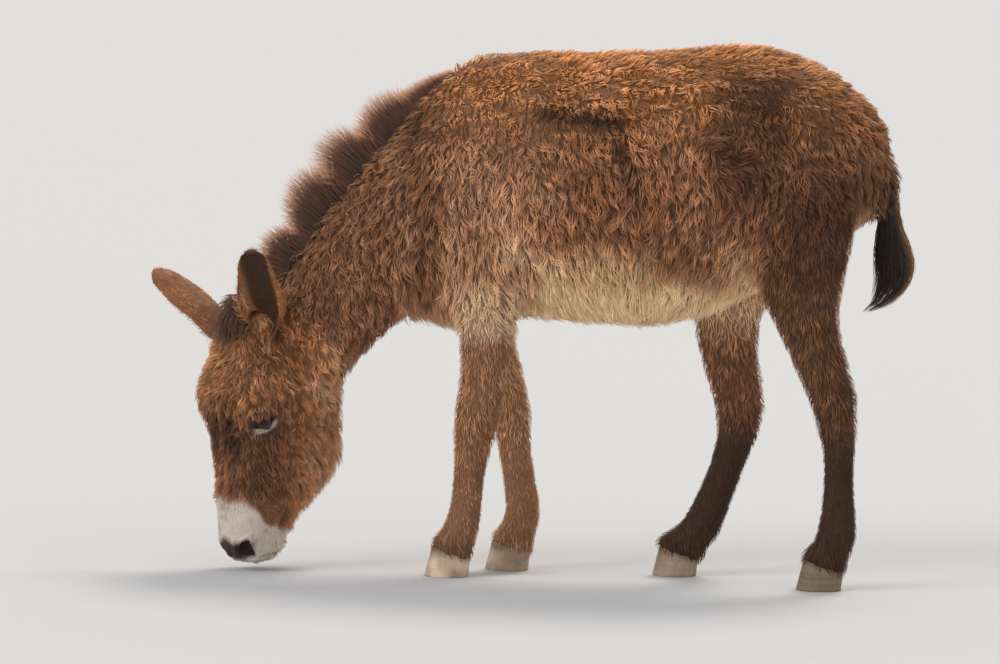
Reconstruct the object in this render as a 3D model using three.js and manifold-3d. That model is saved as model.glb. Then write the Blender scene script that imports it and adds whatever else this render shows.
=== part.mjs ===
// A life-size young donkey in a woolly spring coat, grazing: head down to the grass and turned to its left,
// left hind leg set back and right hind leg under the belly.
// Millimetres, +Z up, +X towards the tail, -Y towards the donkey's own left side.
// Every size is taken over the coat, so the surfaces lie where the tips of the hair lie.

import * as THREE from 'three';
import { mergeVertices } from 'three/addons/utils/BufferGeometryUtils.js';
import Module from 'manifold-3d';

const wasm = await Module();
wasm.setup();

// ---------------------------------------------------------------- driving sizes

const CUT = 0.4; // width of the thin cuts that part the body, and of the gap between separate pieces
const FAR = 2000; // longer than the donkey, for the blocks that cut it

// Trunk and neck as one line of sections, from the buttocks along the back and down the neck to the poll. top and
// bottom are [x, z] on the back or crest and on the belly or throat; half is the half width; widest is how high the
// widest level lies; peak shapes the upper half, a ridge below 2 and a broad back above it; y and turn carry the
// neck round to the donkey's left.
const TORSO = [
  { top: [494, 922], bottom: [490, 858], half: 30, widest: 0.5, peak: 2.0, y: 0, turn: 0 },
  { top: [486, 962], bottom: [478, 818], half: 68, widest: 0.5, peak: 2.0, y: 0, turn: 0 },
  { top: [460, 1010], bottom: [450, 778], half: 112, widest: 0.5, peak: 2.0, y: 0, turn: 0 },
  { top: [414, 1056], bottom: [405, 744], half: 150, widest: 0.52, peak: 2.0, y: 0, turn: 0 },
  { top: [354, 1099], bottom: [345, 706], half: 178, widest: 0.54, peak: 2.0, y: 0, turn: 0 },
  { top: [278, 1131], bottom: [270, 664], half: 195, widest: 0.54, peak: 2.0, y: 0, turn: 0 },
  { top: [192, 1148], bottom: [185, 610], half: 204, widest: 0.52, peak: 2.1, y: 0, turn: 0 },
  { top: [100, 1145], bottom: [95, 570], half: 213, widest: 0.47, peak: 2.1, y: 0, turn: 0 },
  { top: [0, 1134], bottom: [0, 556], half: 222, widest: 0.43, peak: 2.1, y: 0, turn: 0 },
  { top: [-120, 1130], bottom: [-115, 556], half: 222, widest: 0.42, peak: 2.0, y: 0, turn: 0 },
  { top: [-240, 1131], bottom: [-225, 558], half: 209, widest: 0.43, peak: 1.8, y: 0, turn: 0 },
  { top: [-340, 1128], bottom: [-320, 548], half: 194, widest: 0.44, peak: 1.65, y: 0, turn: 0 },
  { top: [-420, 1110], bottom: [-400, 532], half: 180, widest: 0.45, peak: 1.6, y: 0, turn: 0 },
  { top: [-480, 1070], bottom: [-465, 536], half: 164, widest: 0.46, peak: 1.6, y: 0, turn: 0 },
  { top: [-530, 1014], bottom: [-515, 548], half: 146, widest: 0.46, peak: 1.65, y: -1, turn: 1 },
  { top: [-577, 958], bottom: [-552, 546], half: 129, widest: 0.46, peak: 1.7, y: -5, turn: 4 },
  { top: [-628, 900], bottom: [-580, 523], half: 114, widest: 0.47, peak: 1.75, y: -12, turn: 8 },
  { top: [-683, 834], bottom: [-612, 489], half: 103, widest: 0.48, peak: 1.8, y: -22, turn: 13 },
  { top: [-737, 764], bottom: [-640, 458], half: 95, widest: 0.48, peak: 1.85, y: -35, turn: 20 },
  { top: [-787, 692], bottom: [-668, 422], half: 91, widest: 0.48, peak: 1.9, y: -48, turn: 28 },
  { top: [-830, 628], bottom: [-700, 388], half: 88, widest: 0.48, peak: 2.0, y: -60, turn: 36 },
  { top: [-856, 572], bottom: [-735, 376], half: 78, widest: 0.48, peak: 2.0, y: -72, turn: 42 },
];

// Head, hanging straight down with the face turned to the left. In its own frame the poll is the origin, drop runs
// down to the lips, front and back are the reach to the face and to the jaw, half the half width.
const HEAD_TURN = 50; // degrees from straight ahead
const POLL = [-864, -98, 585];
const HEAD = [
  { drop: -4, front: 20, back: 40, half: 30, square: 2.0 },
  { drop: 10, front: 46, back: 74, half: 60, square: 2.2 },
  { drop: 42, front: 58, back: 108, half: 86, square: 2.4 },
  { drop: 92, front: 66, back: 168, half: 101, square: 2.5 },
  { drop: 145, front: 82, back: 206, half: 112, square: 2.6 },
  { drop: 185, front: 99, back: 221, half: 119, square: 2.7 },
  { drop: 220, front: 105, back: 222, half: 118, square: 2.7 },
  { drop: 255, front: 90, back: 224, half: 107, square: 2.6 },
  { drop: 295, front: 79, back: 230, half: 98, square: 2.5 },
  { drop: 340, front: 76, back: 230, half: 88, square: 2.4 },
  { drop: 385, front: 75, back: 201, half: 78, square: 2.4 },
  { drop: 430, front: 73, back: 156, half: 70, square: 2.3 },
  { drop: 475, front: 69, back: 110, half: 65, square: 2.3 },
  { drop: 515, front: 64, back: 80, half: 67, square: 2.3 },
  { drop: 545, front: 53, back: 64, half: 61, square: 2.3 },
  { drop: 561, front: 37, back: 46, half: 42, square: 2.2 },
  { drop: 568, front: 14, back: 18, half: 16, square: 2.0 },
];
const EYE = { radius: 19, drop: 257, front: 32, side: 91 }; // centre of the left eye in the head's own frame

const NOSTRIL = { front: 52, side: 36, drop: 541, width: 9, length: 15, depth: 12 };

// Ears, by root and tip, and the way the opening faces.
const EARS = {
  left: { root: [-808, -166, 486], tip: [-840, -222, 698], opens: [-0.2, -0.95, -0.25] },
  right: { root: [-938, -40, 510], tip: [-1116, 14, 640], opens: [-0.42, 0.48, -0.77] },
};
// Along the ear as a share of its length: half width, and depth of the back of the cup.
const EAR = [
  { along: -0.12, half: 26, deep: 28 },
  { along: 0.0, half: 33, deep: 32 },
  { along: 0.18, half: 43, deep: 32 },
  { along: 0.38, half: 52, deep: 27 },
  { along: 0.57, half: 53, deep: 22 },
  { along: 0.76, half: 43, deep: 17 },
  { along: 0.9, half: 28, deep: 12 },
  { along: 0.98, half: 13, deep: 7 },
  { along: 1.0, half: 5, deep: 4 },
];
const EAR_WALL = 8;

// Legs, from inside the trunk down to the coronet. deep is half the size fore and aft, wide half the size across.
const LEGS = {
  fore_left: [
    { x: -372, y: -84, z: 800, deep: 90, wide: 78 },
    { x: -366, y: -98, z: 700, deep: 104, wide: 82 },
    { x: -354, y: -104, z: 610, deep: 88, wide: 70 },
    { x: -350, y: -102, z: 555, deep: 73, wide: 60 },
    { x: -350, y: -98, z: 500, deep: 63, wide: 52 },
    { x: -359, y: -93, z: 422, deep: 53, wide: 46 },
    { x: -368, y: -89, z: 355, deep: 54, wide: 46 },
    { x: -376, y: -87, z: 312, deep: 50, wide: 44 },
    { x: -382, y: -86, z: 261, deep: 39, wide: 36 },
    { x: -388, y: -85, z: 205, deep: 34, wide: 31 },
    { x: -392, y: -84, z: 153, deep: 35, wide: 32 },
    { x: -400, y: -83, z: 114, deep: 38, wide: 37 },
    { x: -411, y: -82, z: 84, deep: 39, wide: 38 },
    { x: -424, y: -81, z: 60, deep: 46, wide: 42 },
    { x: -435, y: -81, z: 34, deep: 44, wide: 40 },
  ],
  fore_right: [
    { x: -378, y: 84, z: 800, deep: 90, wide: 78 },
    { x: -378, y: 98, z: 700, deep: 100, wide: 80 },
    { x: -384, y: 104, z: 610, deep: 74, wide: 66 },
    { x: -384, y: 102, z: 555, deep: 58, wide: 56 },
    { x: -374, y: 98, z: 500, deep: 52, wide: 50 },
    { x: -350, y: 93, z: 422, deep: 49, wide: 46 },
    { x: -332, y: 89, z: 352, deep: 49, wide: 45 },
    { x: -325, y: 87, z: 308, deep: 45, wide: 42 },
    { x: -319, y: 86, z: 265, deep: 38, wide: 35 },
    { x: -310, y: 85, z: 210, deep: 36, wide: 32 },
    { x: -301, y: 84, z: 158, deep: 38, wide: 33 },
    { x: -299, y: 83, z: 122, deep: 40, wide: 37 },
    { x: -308, y: 82, z: 88, deep: 39, wide: 38 },
    { x: -322, y: 81, z: 60, deep: 46, wide: 42 },
    { x: -334, y: 81, z: 34, deep: 44, wide: 40 },
  ],
  hind_left: [
    { x: 290, y: -70, z: 990, deep: 96, wide: 60 },
    { x: 298, y: -98, z: 900, deep: 146, wide: 92 },
    { x: 309, y: -108, z: 815, deep: 143, wide: 93 },
    { x: 312, y: -110, z: 745, deep: 121, wide: 84 },
    { x: 316, y: -108, z: 680, deep: 106, wide: 73 },
    { x: 323, y: -104, z: 618, deep: 87, wide: 62 },
    { x: 336, y: -100, z: 556, deep: 68, wide: 53 },
    { x: 362, y: -95, z: 480, deep: 58, wide: 45 },
    { x: 388, y: -91, z: 410, deep: 54, wide: 42 },
    { x: 397, y: -90, z: 358, deep: 46, wide: 40 },
    { x: 403, y: -89, z: 306, deep: 35, wide: 34 },
    { x: 404, y: -88, z: 235, deep: 31, wide: 30 },
    { x: 404, y: -87, z: 168, deep: 36, wide: 32 },
    { x: 402, y: -86, z: 118, deep: 41, wide: 37 },
    { x: 390, y: -85, z: 86, deep: 39, wide: 38 },
    { x: 375, y: -84, z: 60, deep: 45, wide: 42 },
    { x: 361, y: -84, z: 34, deep: 43, wide: 40 },
  ],
  hind_right: [
    { x: 285, y: 70, z: 985, deep: 96, wide: 60 },
    { x: 276, y: 98, z: 895, deep: 146, wide: 92 },
    { x: 246, y: 108, z: 815, deep: 143, wide: 92 },
    { x: 212, y: 110, z: 745, deep: 122, wide: 84 },
    { x: 176, y: 108, z: 682, deep: 109, wide: 73 },
    { x: 150, y: 104, z: 620, deep: 90, wide: 62 },
    { x: 139, y: 100, z: 560, deep: 76, wide: 54 },
    { x: 147, y: 95, z: 480, deep: 66, wide: 46 },
    { x: 165, y: 91, z: 408, deep: 59, wide: 43 },
    { x: 172, y: 90, z: 352, deep: 55, wide: 41 },
    { x: 163, y: 89, z: 298, deep: 41, wide: 35 },
    { x: 143, y: 88, z: 232, deep: 36, wide: 31 },
    { x: 119, y: 87, z: 168, deep: 38, wide: 32 },
    { x: 97, y: 86, z: 116, deep: 41, wide: 37 },
    { x: 72, y: 85, z: 84, deep: 38, wide: 38 },
    { x: 46, y: 84, z: 60, deep: 45, wide: 42 },
    { x: 22, y: 84, z: 34, deep: 43, wide: 40 },
  ],
};

// Hooves: an upright, narrow wall from the sloping coronet down to a flat sole.
const HOOF = { toe: 42, heel: 42, half: 37, height: 54, tilt: 0.3, spread: 1.15, forward: 10 };

// Where each leg is parted: a point and a normal, pointing into the leg, for the cut from the trunk, and a point and
// an upward normal for the cut at the knee or the hock.
const LEG_CUTS = {
  fore_left: { at: [-350, 0, 490], normal: [0, -0.42, -1], joint: [-380, -86, 278], jointNormal: [0.12, 0, 1] },
  fore_right: { at: [-350, 0, 490], normal: [0, 0.42, -1], joint: [-321, 86, 276], jointNormal: [-0.12, 0, 1] },
  hind_left: { at: [200, 0, 598], normal: [0.68, -0.3, -1], joint: [400, -89, 326], jointNormal: [-0.2, 0, 1] },
  hind_right: { at: [60, 0, 545], normal: [0.5, 0.3, -1], joint: [168, 89, 322], jointNormal: [0.2, 0, 1] },
};

// Mane: a stiff crest of hair, standing from the neck's crest line in tufts. height is how far it stands.
const MANE = [
  { x: -452, z: 1078, y: 0, height: 24, half: 19 },
  { x: -500, z: 1040, y: 0, height: 50, half: 25 },
  { x: -552, z: 980, y: -3, height: 76, half: 28 },
  { x: -604, z: 920, y: -9, height: 92, half: 30 },
  { x: -656, z: 860, y: -18, height: 98, half: 30 },
  { x: -708, z: 796, y: -29, height: 90, half: 30 },
  { x: -758, z: 728, y: -42, height: 77, half: 30 },
  { x: -806, z: 658, y: -56, height: 58, half: 29 },
  { x: -846, z: 596, y: -72, height: 46, half: 26 },
];
const MANE_ROOT = 30; // the mane starts this far under the crest line
const MANE_TUFTS = 7;
const MANE_TUFT_RISE = 0.16; // how much higher the middle of a tuft stands

// Tail: the dock hangs from the croup, and below it the switch of long hair curls forward.
const TAIL = [
  { x: 446, z: 930, y: 0, deep: 18, wide: 18 },
  { x: 474, z: 906, y: 0, deep: 25, wide: 24 },
  { x: 491, z: 866, y: 0, deep: 24, wide: 24 },
  { x: 491, z: 818, y: 0, deep: 21, wide: 21 },
  { x: 493, z: 772, y: 0, deep: 27, wide: 23 },
  { x: 500, z: 728, y: 0, deep: 38, wide: 28 },
  { x: 505, z: 688, y: 0, deep: 44, wide: 28 },
  { x: 501, z: 650, y: 0, deep: 38, wide: 24 },
  { x: 484, z: 616, y: 0, deep: 26, wide: 18 },
  { x: 460, z: 596, y: 0, deep: 13, wide: 11 },
  { x: 442, z: 587, y: 0, deep: 4, wide: 4 },
];
const SWITCH_TOP = 776; // height where the long hair of the switch begins

// Forelock: a short tuft from the poll down between the eyes, in the head's own frame.
const FORELOCK = [
  { front: -30, drop: -2, half: 20, deep: 14 },
  { front: 10, drop: -6, half: 32, deep: 22 },
  { front: 50, drop: 12, half: 38, deep: 20 },
  { front: 74, drop: 46, half: 36, deep: 16 },
  { front: 84, drop: 84, half: 24, deep: 12 },
  { front: 88, drop: 112, half: 8, deep: 5 },
];

// ---------------------------------------------------------------- shape functions

const Y = new THREE.Vector3(0, 1, 0);
const Z = new THREE.Vector3(0, 0, 1);
const radians = THREE.MathUtils.degToRad;
const vec = (x, y, z) => new THREE.Vector3(x, y, z);

// The value at u, from 0 to 1, of a smooth curve through evenly spaced values.
function smooth(values, u) {
  const last = values.length - 1;
  const i = Math.min(last - 1, Math.floor(u * last));
  const t = u * last - i;
  const a = values[i];
  const b = values[i + 1];
  const before = i > 0 ? values[i - 1] : 2 * a - b;
  const after = i < last - 1 ? values[i + 2] : 2 * b - a;
  const m0 = (b - before) / 2;
  const m1 = (after - a) / 2;
  const t2 = t * t;
  const t3 = t2 * t;
  return (2 * t3 - 3 * t2 + 1) * a + (t3 - 2 * t2 + t) * m0 + (3 * t2 - 2 * t3) * b + (t3 - t2) * m1;
}

// A signed power, for the round-cornered sections: corner 2 is an ellipse, more is squarer.
const bend = (v, corner) => Math.sign(v) * Math.abs(v) ** (2 / corner);

// Six times a mesh's volume, negative where its faces point inwards.
function signedVolume(position, index) {
  const corners = [vec(0, 0, 0), vec(0, 0, 0), vec(0, 0, 0)];
  let sum = 0;
  for (let i = 0; i < index.length; i += 3) {
    corners.forEach((v, k) => v.fromBufferAttribute(position, index[i + k]));
    sum += corners[0].dot(corners[1].cross(corners[2]));
  }
  return sum;
}

// A three.js geometry as a solid that can be cut and joined, with its faces outwards.
function solid(geometry) {
  const bare = geometry.clone();
  bare.deleteAttribute('normal');
  bare.deleteAttribute('uv');
  const merged = mergeVertices(bare, 1e-4);
  const index = new Uint32Array(merged.index.array);
  if (signedVolume(merged.attributes.position, index) < 0) index.reverse();
  const vertProperties = new Float32Array(merged.attributes.position.array);
  return new wasm.Manifold(new wasm.Mesh({ numProp: 3, vertProperties, triVerts: index }));
}

// A closed skin over rings of points, fanned shut at both ends.
function skinRings(points, ringCount, sides, firstPole, lastPole) {
  const positions = points.flatMap((p) => p.toArray());
  const pole = points.length;
  positions.push(...firstPole.toArray(), ...lastPole.toArray());
  const index = [];
  const top = (ringCount - 1) * sides;
  for (let k = 0; k < sides; k++) {
    const next = (k + 1) % sides;
    for (let r = 0; r < ringCount - 1; r++) {
      const a = r * sides + k;
      const b = r * sides + next;
      index.push(a, b, b + sides, a, b + sides, a + sides);
    }
    index.push(pole, next, k, pole + 1, top + k, top + next);
  }
  const geometry = new THREE.BufferGeometry();
  geometry.setAttribute('position', new THREE.Float32BufferAttribute(positions, 3));
  geometry.setIndex(index);
  return solid(geometry);
}

// A closed solid through sections. Each section has a centre, a unit vector across and one up, its half width, its
// rise above the centre and fall below it, and the corners of its upper and lower half.
function loft(sections, { sides, rings, grow = 0 }) {
  const at = (read, u) => smooth(sections.map(read), u);
  const vector = (key, u) => vec(...['x', 'y', 'z'].map((axis) => at((s) => s[key][axis], u)));
  // The end rings move out along the line too when the solid is grown.
  const ringCentre = (r) => {
    const centre = vector('centre', r / rings);
    if (r > 0 && r < rings) return centre;
    const inner = vector('centre', (r === 0 ? 1 : rings - 1) / rings);
    return centre.clone().addScaledVector(centre.clone().sub(inner).normalize(), grow);
  };
  const points = [];
  for (let r = 0; r <= rings; r++) {
    const u = r / rings;
    const centre = ringCentre(r);
    const across = vector('across', u).normalize();
    const up = vector('up', u).normalize();
    const half = at((s) => s.half, u) + grow;
    const rise = at((s) => s.rise, u) + grow;
    const fall = at((s) => s.fall, u) + grow;
    const upper = at((s) => s.upperCorner, u);
    const lower = at((s) => s.lowerCorner, u);
    for (let k = 0; k < sides; k++) {
      const angle = (2 * Math.PI * k) / sides;
      const c = Math.cos(angle);
      const s = Math.sin(angle);
      const corner = s >= 0 ? upper : lower;
      points.push(centre.clone()
        .addScaledVector(across, bend(c, corner) * half)
        .addScaledVector(up, bend(s, corner) * (s >= 0 ? rise : fall)));
    }
  }
  return skinRings(points, rings + 1, sides, ringCentre(0), ringCentre(rings));
}

const union = (solids) => solids.reduce((all, next) => all.add(next));

// A block that fills the side of a plane that the normal points to, starting a gap away from the plane.
function sideOf(point, normal, gap = CUT / 2) {
  const block = new THREE.BoxGeometry(FAR * 2, FAR * 2, FAR);
  block.translate(0, 0, FAR / 2 + gap);
  block.applyQuaternion(new THREE.Quaternion().setFromUnitVectors(Z, normal.clone().normalize()));
  block.translate(...point.toArray());
  return solid(block);
}

// Parts a solid at a plane. The first piece is on the side that the normal points to.
function partAt(whole, point, normal) {
  return [whole.intersect(sideOf(point, normal)), whole.intersect(sideOf(point, normal.clone().negate()))];
}

// ---------------------------------------------------------------- the body before it is parted

function torsoSections() {
  return TORSO.map((s) => {
    const top = vec(s.top[0], s.y, s.top[1]);
    const bottom = vec(s.bottom[0], s.y, s.bottom[1]);
    const depth = top.distanceTo(bottom);
    return {
      centre: bottom.clone().lerp(top, s.widest),
      across: Y.clone().applyAxisAngle(Z, radians(s.turn)),
      up: top.clone().sub(bottom).normalize(),
      half: s.half,
      rise: depth * (1 - s.widest),
      fall: depth * s.widest,
      upperCorner: s.peak,
      lowerCorner: 2.15,
    };
  });
}

// The head's own frame: how far a point lies to the face's front, to the left side and down from the poll.
const headFront = vec(-Math.cos(radians(HEAD_TURN)), -Math.sin(radians(HEAD_TURN)), 0);
const headSide = vec(Math.sin(radians(HEAD_TURN)), -Math.cos(radians(HEAD_TURN)), 0);
const headPoint = (front, side, drop) =>
  vec(...POLL).addScaledVector(headFront, front).addScaledVector(headSide, side).addScaledVector(Z, -drop);

function headSections() {
  return HEAD.map((s) => ({
    centre: headPoint(0, 0, s.drop),
    across: headSide,
    up: headFront,
    half: s.half,
    rise: s.front,
    fall: s.back,
    upperCorner: s.square,
    lowerCorner: s.square - 0.3,
  }));
}

// Sections square to a line of stations that runs down a limb or a tail.
function limbSections(stations) {
  const line = new THREE.CatmullRomCurve3(stations.map((s) => vec(s.x, s.y, s.z)), false, 'catmullrom', 0.5);
  return stations.map((s, i) => ({
    centre: vec(s.x, s.y, s.z),
    across: Y,
    up: line.getTangent(i / (stations.length - 1)).cross(Y).normalize(),
    half: s.wide,
    rise: s.deep,
    fall: s.deep,
    upperCorner: 2.1,
    lowerCorner: 2.1,
  }));
}

function bodyWith(grow) {
  const legs = Object.values(LEGS).map((stations) =>
    loft(limbSections(stations), { sides: 10, rings: Math.round(1.3 * stations.length), grow }));
  return union([
    loft(torsoSections(), { sides: 22, rings: 36, grow }),
    loft(headSections(), { sides: 20, rings: 20, grow }),
    ...legs,
  ]);
}

// ---------------------------------------------------------------- separate pieces

function eyeball(sign, grow) {
  const ball = new THREE.SphereGeometry(EYE.radius + grow, 12, 9);
  return solid(ball.translate(...headPoint(EYE.front, sign * EYE.side, EYE.drop).toArray()));
}

// A nostril: an upright oval hollow in the front corner of the muzzle.
function nostril(sign) {
  const hollow = new THREE.SphereGeometry(1, 10, 6);
  hollow.scale(NOSTRIL.width, NOSTRIL.depth, NOSTRIL.length);
  hollow.rotateZ(radians(HEAD_TURN + 90 - 35 * sign));
  return solid(hollow.translate(...headPoint(NOSTRIL.front, sign * NOSTRIL.side, NOSTRIL.drop).toArray()));
}

// An ear is a tapering cup: a rounded solid with a smaller one, pushed out through its front, scooped from it.
function ear({ root, tip, opens }) {
  const base = vec(...root);
  const along = vec(...tip).sub(base);
  const length = along.length();
  along.normalize();
  const opening = vec(...opens).normalize();
  opening.addScaledVector(along, -opening.dot(along)).normalize();
  const across = along.clone().cross(opening);
  const shape = (stations, inset, lift, rise) => stations.map((s) => ({
    centre: base.clone().addScaledVector(along, s.along * length + lift),
    across,
    up: opening,
    half: Math.max(2, s.half - inset),
    rise: Math.max(1, s.deep * rise),
    fall: Math.max(1, s.deep - inset),
    upperCorner: 2,
    lowerCorner: 2,
  }));
  const outer = loft(shape(EAR, 0, 0, 0.5), { sides: 10, rings: 10 });
  const scoop = loft(shape(EAR.slice(1, -1), EAR_WALL, 10, 2.4), { sides: 10, rings: 7 });
  return outer.subtract(scoop);
}

function mane(grow = 0) {
  const line = new THREE.CatmullRomCurve3(MANE.map((s) => vec(s.x, s.y, s.z)));
  const sections = [];
  const steps = MANE_TUFTS * 3;
  for (let i = 0; i <= steps; i++) {
    const u = i / steps;
    const read = (key) => smooth(MANE.map((s) => s[key]), u);
    const up = line.getTangent(u).cross(Y).normalize();
    const tuft = 1 + MANE_TUFT_RISE * Math.abs(Math.sin(Math.PI * MANE_TUFTS * u)) - MANE_TUFT_RISE / 2;
    sections.push({
      centre: vec(read('x'), read('y'), read('z')),
      across: Y,
      up: up.z < 0 ? up.negate() : up,
      half: read('half'),
      rise: read('height') * tuft,
      fall: MANE_ROOT,
      upperCorner: 2.2,
      lowerCorner: 2,
    });
  }
  return loft(sections, { sides: 8, rings: steps, grow });
}

// A hoof: rings from the flat sole up to the sloping coronet, wider below and longer towards the toe.
function hoof(foot) {
  const levels = 3;
  const sides = 16;
  const points = [];
  for (let r = 0; r <= levels; r++) {
    const rise = r / levels;
    const spread = THREE.MathUtils.lerp(HOOF.spread, 1, rise);
    const forward = THREE.MathUtils.lerp(HOOF.forward, 0, rise);
    for (let k = 0; k < sides; k++) {
      const angle = (2 * Math.PI * k) / sides;
      const c = Math.cos(angle);
      const reach = (c > 0 ? HOOF.heel : HOOF.toe) * spread;
      const z = rise * (HOOF.height - HOOF.tilt * c * (c > 0 ? HOOF.heel : HOOF.toe));
      points.push(vec(foot.x + c * reach - forward, foot.y + Math.sin(angle) * HOOF.half * spread, z));
    }
  }
  return skinRings(points, levels + 1, sides, vec(foot.x - HOOF.forward, foot.y, 0), vec(foot.x, foot.y, HOOF.height));
}

function forelock() {
  const line = new THREE.CatmullRomCurve3(FORELOCK.map((s) => headPoint(s.front, 0, s.drop)));
  const sections = FORELOCK.map((s, i) => ({
    centre: headPoint(s.front, 0, s.drop),
    across: headSide,
    up: line.getTangent(i / (FORELOCK.length - 1)).cross(headSide).normalize(),
    half: s.half,
    rise: s.deep,
    fall: s.deep,
    upperCorner: 2,
    lowerCorner: 2,
  }));
  return loft(sections, { sides: 8, rings: 7 });
}

// ---------------------------------------------------------------- parting the body

const whole = bodyWith(0);
const clear = bodyWith(2.5 * CUT); // the body and the gap round it, cut out of all that is set on it
const pieces = {};

// The trunk in three and the neck, from the buttocks forwards.
let front = whole;
let hind;
let shoulders;
[front, hind] = partAt(front, vec(48, 0, 560), vec(-1, 0, 0.2));
[front, pieces.barrel] = partAt(front, vec(-228, 0, 800), vec(-1, 0, 0));
[front, shoulders] = partAt(front, vec(-500, 0, 1062), vec(-1, 0, 0.1));

// The head comes off behind the ears and the jaw, then the lower jaw and the muzzle come off the head.
let head;
[head, pieces.neck] = partAt(front, headPoint(-96, 0, 92), headFront.clone().addScaledVector(Z, -0.62));
for (const [name, sign] of [['eye_left', 1], ['eye_right', -1]]) {
  head = head.subtract(eyeball(sign, CUT));
  pieces[name] = eyeball(sign, 0);
}
[pieces.lower_jaw, head] = partAt(head, headPoint(-14, 0, 530), headFront.clone().negate().addScaledVector(Z, -0.46));
[pieces.head, pieces.muzzle] = partAt(head, headPoint(0, 0, 432), Z.clone().addScaledVector(headFront, 0.12));

pieces.muzzle = pieces.muzzle.subtract(nostril(1)).subtract(nostril(-1));

// Each leg comes off its end of the trunk at a slope that rises to the outside, and is parted at the knee or the
// hock. The hoof takes the place of its end.
function takeLeg(trunkEnd, name, { at, normal, joint, jointNormal }) {
  const outwards = vec(0, name.endsWith('left') ? -1 : 1, 0);
  const region = (gap) => sideOf(vec(0, 0, 0), outwards, gap).intersect(sideOf(vec(...at), vec(...normal), gap));
  const foot = LEGS[name][LEGS[name].length - 2];
  const coronet = vec(foot.x, foot.y, HOOF.height + CUT / 2);
  const leg = trunkEnd.intersect(region(CUT / 2)).intersect(sideOf(coronet, vec(HOOF.tilt, 0, 1)));
  const [upper, lower] = partAt(leg, vec(...joint), vec(...jointNormal));
  const [end, side] = name.split('_');
  pieces[`${end === 'fore' ? 'forearm' : 'thigh'}_${side}`] = upper;
  pieces[`${end}_cannon_${side}`] = lower;
  pieces[`${end}_hoof_${side}`] = hoof(foot);
  return trunkEnd.subtract(region(-CUT / 2));
}
for (const name of ['fore_left', 'fore_right']) shoulders = takeLeg(shoulders, name, LEG_CUTS[name]);
for (const name of ['hind_left', 'hind_right']) hind = takeLeg(hind, name, LEG_CUTS[name]);
pieces.shoulders = shoulders;
pieces.hindquarters = hind;

// Set on the body: ears, mane, forelock and tail.
pieces.ear_left = ear(EARS.left).subtract(clear);
pieces.ear_right = ear(EARS.right).subtract(clear);
pieces.mane = mane().subtract(clear);
pieces.forelock = forelock().subtract(clear).subtract(mane(2.5 * CUT));
const tail = loft(limbSections(TAIL), { sides: 10, rings: 16 }).subtract(clear);
[pieces.tail_dock, pieces.tail_switch] = partAt(tail, vec(499, 0, SWITCH_TOP), Z);

// ---------------------------------------------------------------- the finished group

const BROWN = 0x6b4027;
const DARK_BROWN = 0x3f261b;
const COLOURS = {
  head: 0x71452c,
  lower_jaw: 0x5a3a29,
  muzzle: 0xb9ada2,
  eye_left: 0x140d0a,
  eye_right: 0x140d0a,
  ear_left: 0x7a4a2b,
  ear_right: 0x8a5530,
  mane: DARK_BROWN,
  forelock: DARK_BROWN,
  tail_switch: 0x1c1310,
  barrel: 0x74472c,
};

const donkey = new THREE.Group();
donkey.name = 'donkey';
for (const [name, piece] of Object.entries(pieces)) {
  const bare = name.startsWith('eye') ? 0.1 : 0.9;
  const color = name.includes('hoof') ? 0x6f6259 : name.includes('cannon') ? 0x4c3022 : COLOURS[name] ?? BROWN;
  const material = new THREE.MeshStandardMaterial({ color, roughness: name.includes('hoof') ? 0.6 : bare, metalness: 0 });
  const mesh = piece.getMesh();
  const geometry = new THREE.BufferGeometry();
  geometry.setAttribute('position', new THREE.Float32BufferAttribute(mesh.vertProperties, 3));
  geometry.setIndex(new THREE.BufferAttribute(mesh.triVerts, 1));
  geometry.computeVertexNormals();
  const part = new THREE.Mesh(geometry, material);
  part.name = name;
  donkey.add(part);
}

// Set the donkey on the floor with its footprint centred on the origin.
const bounds = new THREE.Box3().setFromObject(donkey);
donkey.position.set(-(bounds.min.x + bounds.max.x) / 2, -(bounds.min.y + bounds.max.y) / 2, -bounds.min.z);
donkey.updateMatrixWorld(true);

export default donkey;
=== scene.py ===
import math

import bmesh
import bpy
import numpy as np
from mathutils import Matrix, Vector
from mathutils.bvhtree import BVHTree
from mathutils.kdtree import KDTree


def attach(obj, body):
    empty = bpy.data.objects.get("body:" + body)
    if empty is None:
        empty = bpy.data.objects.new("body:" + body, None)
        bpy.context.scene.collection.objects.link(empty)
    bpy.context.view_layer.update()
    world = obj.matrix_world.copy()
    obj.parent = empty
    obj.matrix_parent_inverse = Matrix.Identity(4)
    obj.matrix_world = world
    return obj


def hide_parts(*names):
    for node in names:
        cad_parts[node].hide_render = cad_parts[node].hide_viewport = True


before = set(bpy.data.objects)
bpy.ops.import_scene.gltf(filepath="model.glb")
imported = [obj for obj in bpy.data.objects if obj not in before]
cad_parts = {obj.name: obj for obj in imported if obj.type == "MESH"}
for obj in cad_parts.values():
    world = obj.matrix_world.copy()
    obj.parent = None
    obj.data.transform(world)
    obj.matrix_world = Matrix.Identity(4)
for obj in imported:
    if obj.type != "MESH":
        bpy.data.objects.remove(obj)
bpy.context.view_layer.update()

# ---------------------------------------------------------------- camera
# A long lens at the height of a standing child's eye, eight metres off the donkey's left side and a little
# behind the middle of its body, tilted very slightly.

VIEW_TURN = math.radians(10.395)
VIEW_DOWN = math.radians(3.005)
VIEW_ROLL = math.radians(0.9)
CAMERA_PLACE = (1.3993, -7.9216, 0.945)

level_run = math.cos(VIEW_DOWN)
ahead = Vector((-math.sin(VIEW_TURN) * level_run, math.cos(VIEW_TURN) * level_run, -math.sin(VIEW_DOWN)))
across = ahead.cross(Vector((0, 0, 1))).normalized()
above = across.cross(ahead)
level = math.cos(VIEW_ROLL) * across + math.sin(VIEW_ROLL) * above
upright = math.cos(VIEW_ROLL) * above - math.sin(VIEW_ROLL) * across

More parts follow.
